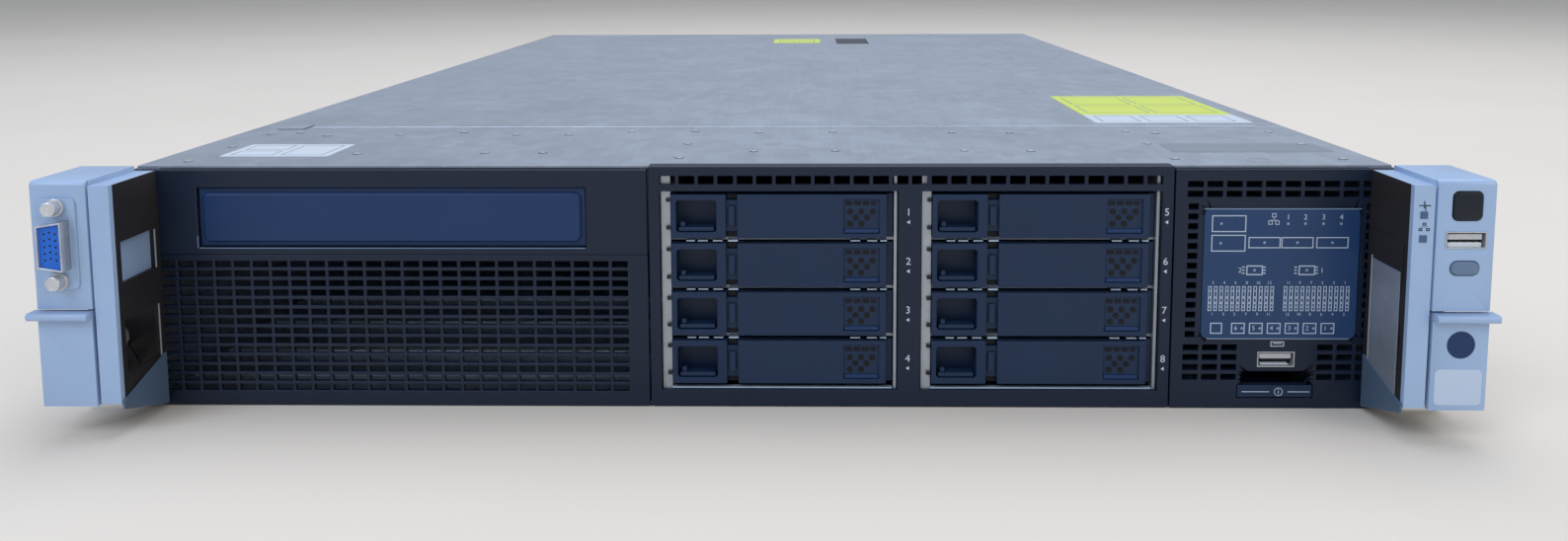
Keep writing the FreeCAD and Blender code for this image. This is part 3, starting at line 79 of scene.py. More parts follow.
def put_away():
    """Leaves nothing selected, so that the next operator acts on the new piece alone."""
    if bpy.context.object and bpy.context.object.mode == "EDIT":
        bpy.ops.object.mode_set(mode="OBJECT")
    bpy.ops.object.select_all(action="DESELECT")


eye = bpy.data.cameras.new("camera")
eye.sensor_width = 36
eye.lens = 26.77
eye.shift_y = -0.123
eye.clip_start = 0.01
camera = bpy.data.objects.new("camera", eye)
bpy.context.scene.collection.objects.link(camera)
viewpoint = (0.0163, -0.4051, 0.1611)
turned_left, tipped_down, rolled = 1.01, 5.95, -0.22
camera.matrix_world = (Matrix.Translation(viewpoint) @ Matrix.Rotation(radians(turned_left), 4, "Z")
                       @ Matrix.Rotation(radians(90 - tipped_down), 4, "X")
                       @ Matrix.Rotation(radians(rolled), 4, "Z"))
bpy.context.scene.camera = camera
bpy.context.scene.view_settings.view_transform = "Standard"

room = bpy.data.worlds.new("room")
room.use_nodes = True
room.node_tree.nodes["Background"].inputs["Color"].default_value = linear("#dfe6f0")
room.node_tree.nodes["Background"].inputs["Strength"].default_value = 0.55
bpy.context.scene.world = room

for name, place, aim, width, power, tint in (
        ("window_light", (-1.3, -1.7, 2.0), (0.0, 0.1, 0.05), 1.6, 34, "#e6eeff"),
        ("ceiling_light", (0.3, 0.9, 2.3), (0.0, 0.3, 0.0), 2.2, 40, "#f2f5ff"),
        ("bounce_light", (1.6, -1.3, 1.1), (0.1, 0.0, 0.05), 1.4, 12, "#fff3e4")):
    lamp = bpy.data.lights.new(name, "AREA")
    lamp.size = width
    lamp.energy = power
    lamp.color = linear(tint)[:3]
    stand = bpy.data.objects.new(name, lamp)
    bpy.context.scene.collection.objects.link(stand)
    stand.location = place
    stand.rotation_euler = (Vector(aim) - Vector(place)).to_track_quat("-Z", "Y").to_euler()

# The floor is matt paint, warm and pale. It lies 0.4 mm low, so that it shares no plane with the tray.
put_away()
bpy.ops.mesh.primitive_plane_add(size=24, location=(0, 6, -0.0004))
floor = bpy.context.object
floor.name = "floor"
paint, tree, shader, place = start_finish("matt_floor_paint", {"Roughness": 0.9})
wear = add_node(tree, "TexNoise", {"Scale": 3.0, "Detail": 3.0}, {"Vector": place})
tone = add_node(tree, "ValToRGB", {}, {"Fac": wear.outputs["Fac"]})
tone.color_ramp.elements[0].color = linear("#d6d0c6")
tone.color_ramp.elements[1].color = linear("#dfd9cf")
tree.links.new(tone.outputs["Color"], shader.inputs["Base Color"])
floor.data.materials.append(paint)


# ---------------------------------------------------------------- tray and lids
# The tray, the fixed front lid and the sliding hood are folded from zinc-coated steel, a millimetre thick.
# The zinc is dull and even, with a faint crystal grain and rolling marks, and its cut edges are rounded.

def zinc_coat(name, dark, light, roughness):
    """A bare metal skin, such as hot-dip zinc: blotches of a few millimetres over fine rolling lines."""
    material, tree, shader, place = start_finish(name, {"Metallic": 0.55, "Roughness": roughness})
    crystals = add_node(tree, "TexVoronoi", {"Scale": 1 / 0.007}, {"Vector": place})
    cloud = add_node(tree, "TexNoise", {"Scale": 1 / 0.05, "Detail": 4.0}, {"Vector": place})
    stretched = add_node(tree, "Mapping", {"Scale": (1 / 0.0012, 1 / 0.06, 1 / 0.0012)}, {"Vector": place})
    rolling = add_node(tree, "TexNoise", {"Scale": 1.0, "Detail": 2.0},
                       {"Vector": stretched.outputs["Vector"]})
    mixed = add_node(tree, "Mix", {"data_type": "FLOAT", "Factor": 0.35},
                     {"A": cloud.outputs["Fac"], "B": crystals.outputs["Color"]})
    both = add_node(tree, "Mix", {"data_type": "FLOAT", "Factor": 0.3},
                    {"A": mixed.outputs["Result"], "B": rolling.outputs["Fac"]})
    tone = add_node(tree, "ValToRGB", {}, {"Fac": both.outputs["Result"]})
    tone.color_ramp.elements[0].position = 0.25
    tone.color_ramp.elements[0].color = linear(dark)
    tone.color_ramp.elements[1].position = 0.75
    tone.color_ramp.elements[1].color = linear(light)
    dull = add_node(tree, "MapRange", {"To Min": roughness - 0.07, "To Max": roughness + 0.08},
                    {"Value": both.outputs["Result"]})
    rough = add_node(tree, "Bump", {"Strength": 0.12, "Distance": 0.00005},
                     {"Height": rolling.outputs["Fac"]})
    tree.links.new(tone.outputs["Color"], shader.inputs["Base Color"])
    tree.links.new(dull.outputs["Result"], shader.inputs["Roughness"])
    tree.links.new(rough.outputs["Normal"], shader.inputs["Normal"])
    return material


def hold(piece):
    """Makes one piece the only selected and active one."""
    put_away()
    piece.select_set(True)
    bpy.context.view_layer.objects.active = piece


def open_edit(piece):
    """Opens one piece for editing, with all of it selected."""
    hold(piece)
    bpy.ops.object.mode_set(mode="EDIT")
    bpy.ops.mesh.select_all(action="SELECT")


def close_edit(face_out=False):
    """Ends the editing, after turning every face outwards where that is asked."""
    if face_out:
        bpy.ops.mesh.select_all(action="SELECT")
        bpy.ops.mesh.normals_make_consistent(inside=False)
    bpy.ops.object.mode_set(mode="OBJECT")


def round_edges(piece, width, segments=2, angle=30):
    """Rounds every edge sharper than an angle, by a width in millimetres."""
    bevel = piece.modifiers.new("rounding", "BEVEL")
    bevel.width = width / 1000
    bevel.segments = segments
    bevel.limit_method = "ANGLE"
    bevel.angle_limit = radians(angle)
    bevel.harden_normals = True
    hold(piece)
    bpy.ops.object.shade_smooth_by_angle(angle=radians(35))
    bpy.ops.object.modifier_apply(modifier="rounding")


def skin_of(node, name, width, segments=2, flat=True):
    """A CAD node's shape as one closed skin with its edges rounded by a width in millimetres."""
    skin = bpy.data.objects.new(name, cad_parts[node].data.copy())
    bpy.context.scene.collection.objects.link(skin)
    open_edit(skin)
    bpy.ops.mesh.remove_doubles(threshold=0.000005)
    if flat:
        bpy.ops.mesh.dissolve_limited(angle_limit=radians(0.5))
    close_edit()
    if width:
        round_edges(skin, width, segments)
    return skin


def fit(piece, body, slot, material, *nodes):
    """Finishes a piece with its material, lets it ride with a body, and stands it for CAD nodes."""
    piece.data.materials.clear()
    piece.data.materials.append(material)
    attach(piece, body)
    if nodes:
        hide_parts(*nodes)
    return piece


def coat(material, *nodes):
    """Gives a finish to CAD nodes whose shape is shown as it is."""
    for node in nodes:
        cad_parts[node].material_slots[0].material = material


def bar(name, x0, x1, y0, y1, z0, z1, rounding=0.0, segments=2):
    """A rectangular bar between two corners in millimetres, its edges rounded."""
    put_away()
    bpy.ops.mesh.primitive_cube_add(size=1, location=((x0 + x1) / 2000, (y0 + y1) / 2000, (z0 + z1) / 2000),
                                    scale=((x1 - x0) / 1000, (y1 - y0) / 1000, (z1 - z0) / 1000))
    made = bpy.context.object
    made.name = name
    bpy.ops.object.transform_apply(location=True, rotation=True, scale=True)
    if rounding:
        round_edges(made, rounding, segments)
    return made


def disc(name, x, y, z, radius, depth, axis="Z", sides=24, rounding=0.0):
    """A round plate of a depth in millimetres, standing on (x, y, z) and facing up or to the front."""
    put_away()
    turn = (radians(90), 0, 0) if axis == "Y" else ((0, radians(90), 0) if axis == "X" else (0, 0, 0))
    middle = Vector((x, y, z)) + {"Z": Vector((0, 0, depth / 2)), "Y": Vector((0, -depth / 2, 0)),
                                  "X": Vector((depth / 2, 0, 0))}[axis]
    bpy.ops.mesh.primitive_cylinder_add(vertices=sides, radius=radius / 1000, depth=abs(depth) / 1000,
                                        location=middle / 1000, rotation=turn)
    made = bpy.context.object
    made.name = name
    bpy.ops.object.transform_apply(location=True, rotation=True, scale=True)
    if rounding:
        round_edges(made, rounding, 2)
    return made


def copy_at(piece, dx, dy, dz):
    """A copy with its own mesh, moved by so many millimetres."""
    twin = piece.copy()
    twin.data = piece.data.copy()
    bpy.context.scene.collection.objects.link(twin)
    twin.data.transform(Matrix.Translation((dx / 1000, dy / 1000, dz / 1000)))
    return twin


def join(pieces, name):
    """One piece of several."""
    put_away()
    for piece in pieces:
        piece.select_set(True)
    bpy.context.view_layer.objects.active = pieces[0]
    bpy.ops.object.join()
    bpy.context.object.name = name
    return bpy.context.object


# The outer sheets look mid grey and soft. The cage and the small steel parts are a little brighter.
galvanised = zinc_coat("galvanised_sheet", "#8e98a6", "#a6b0be", 0.42)
cage_zinc = zinc_coat("galvanised_cage", "#9aa0a8", "#b6bbc2", 0.38)

fit(skin_of("front_top_cover", "front_lid", 0.3), "root", "galvanised_steel", galvanised, "front_top_cover")
fit(skin_of("access_panel", "sliding_hood", 0.35), "access_panel", "galvanised_steel", galvanised,
    "access_panel")
coat(galvanised, "chassis_tray")

# The hood's front edge is folded under into a hem, painted brighter than the sheet as a highlight, and a stop
# tab lies over its left corner.
lid_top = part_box("front_top_cover")[1][2] * 1000
tab = bar("hood_corner_tab", -212, -200, 90.5, 101.5, lid_top, lid_top + 0.7, 0.3)
fit(tab, "access_panel", "galvanised_steel", galvanised)
hem_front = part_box("access_panel")[0][1] * 1000
hem_highlight_zinc = zinc_coat("hood_hem_painted_highlight", "#bccbdb", "#d0dce9", 0.3)
hem = bar("hood_front_hem", -199, 211, hem_front, hem_front + 0.9, lid_top - 0.2, lid_top + 0.3, 0.2)
fit(hem, "access_panel", "galvanised_steel", hem_highlight_zinc)

# Rivets hold the lid to the folds and the cage beneath it: domed steel heads, 3.4 mm across.
rivet_places = [(-209, 78), (-198, 82), (-183, 73), (-153, 75), (-128, 82), (-104, 75), (-82, 75),
                (-57, 83), (-30, 84), (-3, 80), (28, 82), (78, 80), (102, 79),
                (151, 82), (162, 77), (210, 80), (-30, 51), (151, 50), (-209, 45),
                (210, 48), (-153, 28), (-105, 30), (-83, 30), (-3, 33), (28, 34),
                (77, 34), (102, 33), (-209, 12), (-30, 19), (151, 16), (211, 15)]
rivet = disc("lid_rivets", 0, 0, lid_top, 1.7, 0.45, sides=16)
round_edges(rivet, 0.4, 2)
heads = [copy_at(rivet, x, y, 0) for x, y in rivet_places]
bpy.data.objects.remove(rivet)
fit(join(heads, "lid_rivets"), "root", "plated_steel", cage_zinc)

# A shallow ring is pressed in the lid over the display bay, 8.8 mm across.
ring_x, ring_y, ring_radius = 0.180, 0.0125, 0.0044
inner_share, ring_height = 0.86, 0.0001
put_away()
bpy.ops.mesh.primitive_circle_add(vertices=40, radius=ring_radius,
                                  location=(ring_x, ring_y, lid_top / 1000 + 0.00002))
ring = bpy.context.object
bpy.ops.object.transform_apply(location=True, rotation=True, scale=True)
open_edit(ring)
bpy.ops.mesh.extrude_region_move(TRANSFORM_OT_translate={"value": (0, 0, 0)})
bpy.ops.transform.resize(value=(inner_share, inner_share, 1), center_override=(ring_x, ring_y, 0))
bpy.ops.mesh.select_all(action="SELECT")
bpy.ops.mesh.extrude_region_move(TRANSFORM_OT_translate={"value": (0, 0, ring_height)})
close_edit(face_out=True)
ring.name = "lid_ring"
fit(ring, "root", "galvanised_steel", cage_zinc)


# ---------------------------------------------------------------- labels on the lids
# Plastic film labels, a tenth of a millimetre thick, are stuck to the lids: white and yellow ones, and a bare
# metal plate. They are left without words and carry only plain outline boxes.

def film(name, colour, light, roughness, metallic=0.0):
    """Printed film, foil or ink: an even colour with slight fading and a soft sheen."""
    material, tree, shader, place = start_finish(name, {"Roughness": roughness, "Metallic": metallic})
    fade = add_node(tree, "TexNoise", {"Scale": 1 / 0.02, "Detail": 3.0}, {"Vector": place})
    grain = add_node(tree, "TexNoise", {"Scale": 1 / 0.0005, "Detail": 1.0}, {"Vector": place})
    tone = add_node(tree, "Mix", {"data_type": "RGBA", 6: linear(colour), 7: linear(light)},
                    {"Factor": fade.outputs["Fac"]})
    gloss = add_node(tree, "MapRange", {"To Min": roughness - 0.06, "To Max": roughness + 0.06},
                     {"Value": grain.outputs["Fac"]})
    skin = add_node(tree, "Bump", {"Strength": 0.1, "Distance": 0.00002}, {"Height": grain.outputs["Fac"]})
    tree.links.new(tone.outputs[2], shader.inputs["Base Color"])
    tree.links.new(gloss.outputs["Result"], shader.inputs["Roughness"])
    tree.links.new(skin.outputs["Normal"], shader.inputs["Normal"])
    return material


def sticker(name, x0, x1, y0, y1, z, material, body):
    """A film label with round corners on an upward face."""
    thickness, corner = 0.1, 1.2
    sheet = bar(name, x0, x1, y0, y1, z, z + thickness)
    bevel_edges(sheet, edges_along(sheet, 2, thickness), corner, 4)
    return fit(sheet, body, "", material)


def edges_along(piece, axis, length):
    """Numbers of the edges that run along an axis for a length in millimetres."""
    found = []
    for edge in piece.data.edges:
        run = [abs(a - b) * 1000 for a, b in zip(*(piece.data.vertices[i].co for i in edge.vertices))]
        if abs(run[axis] - length) < 0.05 and sum(run) - run[axis] < 0.01:
            found.append(edge.index)
    return found


def bevel_edges(piece, edges, width, segments):
    """Rounds chosen edges of a piece, given by number, by a width in millimetres."""
    hold(piece)
    bpy.ops.object.mode_set(mode="EDIT")
    bpy.ops.mesh.select_mode(type="EDGE")
    bpy.ops.mesh.select_all(action="DESELECT")
    bpy.ops.object.mode_set(mode="OBJECT")
    for number in edges:
        piece.data.edges[number].select = True
    bpy.ops.object.mode_set(mode="EDIT")
    bpy.ops.mesh.bevel(offset=width / 1000, segments=segments, affect="EDGES", clamp_overlap=True)
    bpy.ops.object.mode_set(mode="OBJECT")


def outline(name, x0, x1, z0, z1, line, y, rise=0.03):
    """A printed rectangular outline that faces the front, line millimetres wide."""
    put_away()
    bpy.ops.mesh.primitive_plane_add(size=1, location=((x0 + x1) / 2000, y / 1000, (z0 + z1) / 2000),
                                     rotation=(radians(90), 0, 0))
    drawn = bpy.context.object
    drawn.name = name
    drawn.scale = ((x1 - x0) / 1000, (z1 - z0) / 1000, 1)
    bpy.ops.object.transform_apply(location=True, rotation=True, scale=True)
    open_edit(drawn)
    if line:
        bpy.ops.mesh.inset(thickness=line / 1000, use_boundary=True)
        bpy.ops.mesh.delete(type="ONLY_FACE")
        bpy.ops.mesh.select_all(action="SELECT")
    bpy.ops.mesh.extrude_region_move(TRANSFORM_OT_translate={"value": (0, -rise / 1000, 0)})
    close_edit(face_out=True)
    return drawn


# The films look flat and even, with a soft sheen. The ink is duller, and the foil has a faint metal shine.
white_film = film("white_polyester_film", "#c3cfdd", "#cdd8e4", 0.35)
pale_yellow_film = film("yellow_polyester_film", "#c6d850", "#d0e05e", 0.38)
grey_print = film("grey_printing_ink", "#6f7a88", "#788492", 0.5)
foil = film("brushed_aluminium_foil", "#8e9aa9", "#98a5b4", 0.3, 0.6)
sticker("lid_label", -203, -162, 22, 50, lid_top, white_film, "root")
sticker("lid_foil_plate", 155, 215, 30, 50, lid_top, foil, "root")
sticker("hood_label_band", 145, 214, 107, 133, lid_top, white_film, "access_panel")
sticker("hood_label_field", 145, 214, 133.2, 205, lid_top, pale_yellow_film, "access_panel")
sticker("hood_latch_label", -10, 30, 588, 634, lid_top, pale_yellow_film, "access_panel")

# Plain outline boxes stand on the labels where such a label has its drawings.
for name, body, line, places in (
        ("hood_label_drawings", "access_panel", 0.5, (
            (149, 178, 140, 166), (181, 210, 140, 166), (149, 178, 171, 199), (181, 210, 171, 199),
            (-5, 8, 594, 610), (11, 25, 594, 610), (-5, 25, 614, 628), (149, 166, 111, 129),
            (170, 187, 111, 129), (191, 208, 111, 129))),
        ("lid_label_drawings", "root", 0.4, (
            (-200, -184, 25, 34), (-200, -184, 37, 47), (-181, -165, 25, 47)))):
    drawings = [outline(name, *place, line, -lid_top - 0.1) for place in places]
    for drawing in drawings:
        drawing.data.transform(Matrix.Rotation(radians(-90), 4, "X"))
    fit(join(drawings, name), body, "", grey_print)


# ---------------------------------------------------------------- left bezel over the media bay
# The bezels are pressed steel under a satin black powder coat with a slightly blue cast. The upper part
# frames the blank with a sloped lip; the lower part is a grille of oblong slots, 25 across and 14 high.

def fine_skin(name, colour, roughness, peel, gloss=0.32):
    """An even colour under a fine bumpy skin, as on powder coat and moulded plastic; peel is in metres."""
    material, tree, shader, place = start_finish(name, {"Roughness": roughness, "Specular IOR Level": gloss})
    skin = add_node(tree, "TexNoise", {"Scale": 1 / peel, "Detail": 2.0}, {"Vector": place})
    cloud = add_node(tree, "TexNoise", {"Scale": 1 / 0.03, "Detail": 3.0}, {"Vector": place})
    tone = add_node(tree, "Mix", {"data_type": "RGBA", 6: linear(colour[0]), 7: linear(colour[1])},
                    {"Factor": cloud.outputs["Fac"]})
    sheen = add_node(tree, "MapRange", {"To Min": roughness - 0.06, "To Max": roughness + 0.06},
                     {"Value": skin.outputs["Fac"]})
    rough = add_node(tree, "Bump", {"Strength": 0.25, "Distance": 0.00006}, {"Height": skin.outputs["Fac"]})
    tree.links.new(tone.outputs[2], shader.inputs["Base Color"])
    tree.links.new(sheen.outputs["Result"], shader.inputs["Roughness"])
    tree.links.new(rough.outputs["Normal"], shader.inputs["Normal"])
    return material


def row(piece, count, x, z):
    """Repeats a piece by a step in millimetres, across or upwards."""
    steps = piece.modifiers.new("row", "ARRAY")
    steps.count = count
    steps.use_relative_offset = False
    steps.use_constant_offset = True
    steps.constant_offset_displace = (x / 1000, 0, z / 1000)
    hold(piece)
    bpy.ops.object.modifier_apply(modifier="row")


# The coat looks blue-black and satin, with a fine orange peel that breaks up the light.
powder_coat = fine_skin("black_powder_coat", ("#0f1b2e", "#142238"), 0.44, 0.0006)
fit(skin_of("media_bay_frame", "left_bezel_frame", 0.5, 3, False), "root", "black_powder_coat", powder_coat,
    "media_bay_frame")

# One cell of the grille is a square opening stretched to a slot, with sheet round it up to half a pitch. It
# is repeated in rows, welded, carried out to the bezel's edges and made 2 mm thick.
low, high = [corner * 1000 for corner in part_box("media_bay_grille")]
slots_across, slots_high = 25, 14
pitch_x, pitch_z, half_width, half_height = 6.79, 3.5, 2.8, 1.15
highest_edge = 53.2
middle_x = (low[0] + high[0]) / 2 - (slots_across - 1) / 2 * pitch_x
middle_z = highest_edge - half_height - (slots_high - 1) * pitch_z
put_away()
bpy.ops.mesh.primitive_circle_add(vertices=4, radius=half_height / 1000 / cos(radians(45)),
                                  rotation=(radians(90), radians(45), 0),
                                  location=(middle_x / 1000, 0, middle_z / 1000))
grille = bpy.context.object
bpy.ops.object.transform_apply(location=True, rotation=True, scale=True)
stretch = (half_width - half_height) / 1000
for vertex in grille.data.vertices:
    vertex.co.x += stretch if vertex.co.x * 1000 > middle_x else -stretch
open_edit(grille)
bpy.ops.mesh.extrude_region_move()
bpy.ops.transform.resize(value=(4, 1, 6), center_override=(middle_x / 1000, 0, middle_z / 1000))
for side in (-1, 1):
    for axis, reach in ((0, pitch_x / 2), (2, pitch_z / 2)):
        place = [middle_x / 1000, 0, middle_z / 1000]
        place[axis] += side * reach / 1000
        bpy.ops.mesh.select_all(action="SELECT")
        bpy.ops.mesh.bisect(plane_co=place, plane_no=[side if i == axis else 0 for i in range(3)],
                            clear_outer=True)
close_edit()
row(grille, slots_across, pitch_x, 0)
row(grille, slots_high, 0, pitch_z)
open_edit(grille)
bpy.ops.mesh.remove_doubles(threshold=0.00002)
close_edit()
for axis, side in ((0, -1), (0, 1), (2, -1), (2, 1)):
    edge_at = side * max(side * vertex.co[axis] for vertex in grille.data.vertices)
    bpy.ops.object.mode_set(mode="EDIT")
    bpy.ops.mesh.select_mode(type="EDGE")
    bpy.ops.mesh.select_all(action="DESELECT")
    bpy.ops.object.mode_set(mode="OBJECT")
    for edge in grille.data.edges:
        edge.select = all(abs(grille.data.vertices[i].co[axis] - edge_at) < 0.00001 for i in edge.vertices)
    bpy.ops.object.mode_set(mode="EDIT")
    goal = (low if side < 0 else high)[axis] / 1000
    bpy.ops.mesh.extrude_region_move(TRANSFORM_OT_translate={
        "value": [goal - edge_at if i == axis else 0 for i in range(3)]})
    close_edit()
open_edit(grille)
close_edit(face_out=True)
front_facing = sum(face.normal.y * face.area for face in grille.data.polygons) < 0
wall = grille.modifiers.new("sheet", "SOLIDIFY")
wall.thickness = 0.002
wall.offset = -1 if front_facing else 1
hold(grille)
bpy.ops.object.modifier_apply(modifier="sheet")
open_edit(grille)
close_edit(face_out=True)
round_edges(grille, 0.28, 2, 50)
grille.name = "left_bezel_grille"
fit(grille, "root", "black_powder_coat", powder_coat, "media_bay_grille")

# Behind the grille the tray's floor carries four zinc ribs, painted near white as the highlight where light
# falls through the grille.
rib_highlight_zinc = zinc_coat("rib_zinc_painted_highlight", "#cfe0f2", "#e2edf8", 0.3)
ribs = [bar("bay_rib", -216, -46, y, y + 4.2, 1.2, 4.4, 0.8, 2) for y in (20.4, 46.4, 83.4, 117.4)]
fit(join(ribs, "media_bay_ribs"), "root", "galvanised_steel", rib_highlight_zinc)


# ---------------------------------------------------------------- blank of the media bay
# A filler moulded in black ABS closes the disc drive's opening. Its face is smooth and slightly blue,
# with rounded edges, and snaps in from the front.

# The opening's lower and left edges carry thin strips of coat painted pale and glossy as a highlight.
lip_highlight_coat = fine_skin("coat_lip_painted_highlight", ("#5d7490", "#6880a0"), 0.3, 0.0006, 0.5)
lip = [bar("opening_lip", -200.3, -61.7, -0.35, 0.3, 57.75, 58.15, 0.15, 1),
       bar("opening_lip", -200.9, -200.5, -0.35, 0.3, 58.1, 62.5, 0.15, 1)]
fit(join(lip, "opening_lips"), "root", "black_powder_coat", lip_highlight_coat)
# The plastic looks deep blue and satin, smoother than the coat beside it.
dark_plastic = fine_skin("moulded_black_abs", ("#142f58", "#193662"), 0.4, 0.0004)
fit(skin_of("media_bay_blank", "media_blank", 0.4, 3), "media_bay_blank", "black_plastic", dark_plastic,
    "media_bay_blank")


# ---------------------------------------------------------------- middle bezel
# The frame round the two columns of drives, powder-coated as the others, with a folded top lip and a row
# of slots. Each bay's number is printed beside it in light grey, with a small mark that points to it.

def lettering(words, x, z, size, y):
    """Printed characters that face the front, size millimetres high, as one flat mesh."""
    put_away()
    bpy.ops.object.text_add()
    text = bpy.context.object
    text.data.body = words
    text.data.align_x = "CENTER"
    text.data.align_y = "CENTER"
    text.data.size = size / 1000 / 0.7
    text.data.extrude = 0.000015
    text.data.resolution_u = 3
    bpy.ops.object.convert(target="MESH")
    made = bpy.context.object
    made.data.transform(Matrix.Translation((x / 1000, y / 1000, z / 1000))
                        @ Matrix.Rotation(radians(90), 4, "X"))
    return made


def pointer(x, z, size, y):
    """A small printed triangle that points left."""
    put_away()
    bpy.ops.mesh.primitive_circle_add(vertices=3, radius=size / 1000, fill_type="NGON",
                                      location=(x / 1000, y / 1000, z / 1000),
                                      rotation=(radians(90), radians(-90), 0))
    bpy.ops.object.transform_apply(location=True, rotation=True, scale=True)
    open_edit(bpy.context.object)
    bpy.ops.mesh.extrude_region_move(TRANSFORM_OT_translate={"value": (0, -0.00003, 0)})
    close_edit(face_out=True)
    return bpy.context.object


fit(skin_of("drive_bay_bezel", "middle_bezel", 0.2, 1, False), "root", "black_powder_coat", powder_coat,
    "drive_bay_bezel")
# The ink is pale grey and dull, so that the figures stand out softly.
pale_ink = film("pale_grey_ink", "#b9c4d2", "#c2ccd9", 0.5)
lowest_bay, bay_pitch = 16.1, 17.75
bay_marks = []
for number in range(1, 9):
    x = 53.0 if number < 5 else 143.7
    z = lowest_bay + bay_pitch * (4 - (number if number < 5 else number - 4))
    bay_marks.append(lettering(str(number), x, z + 1.6, 2.6, -0.03))
    bay_marks.append(pointer(x + 0.1, z - 1.9, 0.8, -0.01))
fit(join(bay_marks, "bay_numbers"), "root", "", pale_ink)


# ---------------------------------------------------------------- drive cage and drive blanks
# Eight fillers moulded in black ABS close the drive bays: each has a finger pocket with a ledge in it, a
# latch channel and a perforated recess. The zinc-coated cage shows between them as strips with a painted
# highlight.

# The cage's sheared edges and shelf tongues are painted brighter than its faces as a highlight, and its
# notches are dark plates of painted shadow.
fit(skin_of("drive_cage", "bay_cage", 0), "root", "galvanised_steel", cage_zinc, "drive_cage")
cage_edge_highlight = zinc_coat("cage_edge_painted_highlight", "#a9bed6", "#bccde0", 0.35)
notch_dark = film("cage_notch_shadow", "#0b1119", "#0f1620", 0.7)
lips, notches = [], []
for left in (-31.5, 61.2):
    lips.append(bar("cage_lip", left, left + 79.0, 1.2, 3.4, 6.15, 6.75, 0.1, 1))
    for z in (60.2, 42.5, 24.7):
        for x0, x1 in ((5.5, 8.6), (9.6, 13.2), (15.0, 18.4), (20.4, 24.0), (64.0, 67.6), (70.0, 73.6),
                       (74.6, 77.0)):
            lips.append(bar("shelf_tongue", left + x0, left + x1, 2.0, 5.0, z - 0.3, z + 0.3, 0.1, 1))
    for z in (75.2, 65.2, 57.3, 47.2, 39.5, 29.7, 22.0, 12.0):
        notches.append(bar("cage_notch", left - 1.5, left - 0.02, 1.0, 1.3, z - 0.7, z + 0.7, 0.1, 1))
fit(join(lips, "cage_lips"), "root", "galvanised_steel", cage_edge_highlight)
fit(join(notches, "cage_notches"), "root", "galvanised_steel", notch_dark)
# The blanks look dark blue and satin. What is pierced or sunk in them is filled with matt black plates of
# painted shade.
blank_plastic = fine_skin("drive_blank_abs", ("#112642", "#162d4c"), 0.42, 0.0004)
painted_hole_shade = fine_skin("recess_painted_shade", ("#06090e", "#090d13"), 0.6, 0.0004)

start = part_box("drive_blank_4")[0]
left, front, bottom = [value * 1000 for value in start]
half_height = 7.9
middle = bottom + half_height
shell = skin_of("drive_blank_4", "drive_blank", 0.22)
fittings = [bar(name, left + x0, left + x1, front + y0, front + y1, middle + z0, middle + z1, rounding)
            for name, x0, x1, y0, y1, z0, z1, rounding in (
                ("pocket_ledge", 2.4, 15.4, 0.8, 6.2, -5.7, -4.0, 0.5),
                ("pocket_spring", 3.2, 5.0, 1.2, 3.0, -4.0, -2.2, 0.4),
                ("channel_rib", 20.3, 22.7, 0.5, 1.6, -3.6, 3.6, 0.35))]
face = join([shell] + fittings, "drive_blank")

# The recess at the right is pierced by a row of four slots over seven round holes, and has a ledge below.
# The slots, holes and the channel's notches are dark plates of painted shade.
holes = []
slot_z, slot_height = 4.6, 1.3
for x, wide in ((63.2, 2.2), (66.2, 2.2), (69.2, 2.2), (71.9, 1.6)):
    holes.append(bar("vent_slot", left + x - wide / 2, left + x + wide / 2, front + 0.62, front + 0.86,
                     middle + slot_z - slot_height / 2, middle + slot_z + slot_height / 2, 0.1, 1))
for x, z in ((63.6, 1.6), (67.6, 1.6), (71.6, 1.6), (65.6, -0.6), (69.6, -0.6), (63.6, -2.8), (67.6, -2.8)):
    holes.append(disc("vent_hole", left + x, front + 0.86, middle + z, 1.05, 0.24, "Y", 12, 0.06))
for z0, z1 in ((5.9, 7.7), (-7.7, -5.9)):
    holes.append(bar("channel_notch", left + 19.7, left + 23.3, front + 2.6, front + 2.95,
                     middle + z0, middle + z1, 0.1, 1))
dark = join(holes, "drive_blank_holes")
brow = bar("vent_ledge", left + 61.6, left + 73.7, front + 0.3, front + 0.88, middle - 6.0, middle - 4.6, 0.2)
for number in range(1, 9):
    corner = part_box("drive_blank_%d" % number)[0]
    step = [(a - b) * 1000 for a, b in zip(corner, start)]
    body = "drive_blank_%d" % number
    for piece, suffix, finish, stands_for in (
            (face, "_skin", blank_plastic, [body]), (dark, "_holes", painted_hole_shade, []),
            (brow, "_ledge", dark_plastic, [])):
        twin = copy_at(piece, *step)
        twin.name = body + suffix
        fit(twin, body, "black_plastic", finish, *stands_for)
for piece in (face, dark, brow):
    bpy.data.objects.remove(piece)


# ---------------------------------------------------------------- right bezel and status display
# The right bezel frames a moulded panel on which the system's parts are printed as plain outlines: power,
# network, two processors, twenty-four memory modules and six fans, each with its number.

right = skin_of("display_bay_bezel", "right_bezel", 0, flat=False)
slot_corners = []
for number in edges_along(right, 1, 2):
    corner = right.data.vertices[right.data.edges[number].vertices[0]].co
    if 153 < abs(corner.x * 1000) < 215 and 8.6 < corner.z * 1000 < 84:
        slot_corners.append(number)
bevel_edges(right, slot_corners, 0.5, 2)
round_edges(right, 0.2, 1)
fit(right, "root", "black_powder_coat", powder_coat, "display_bay_bezel")
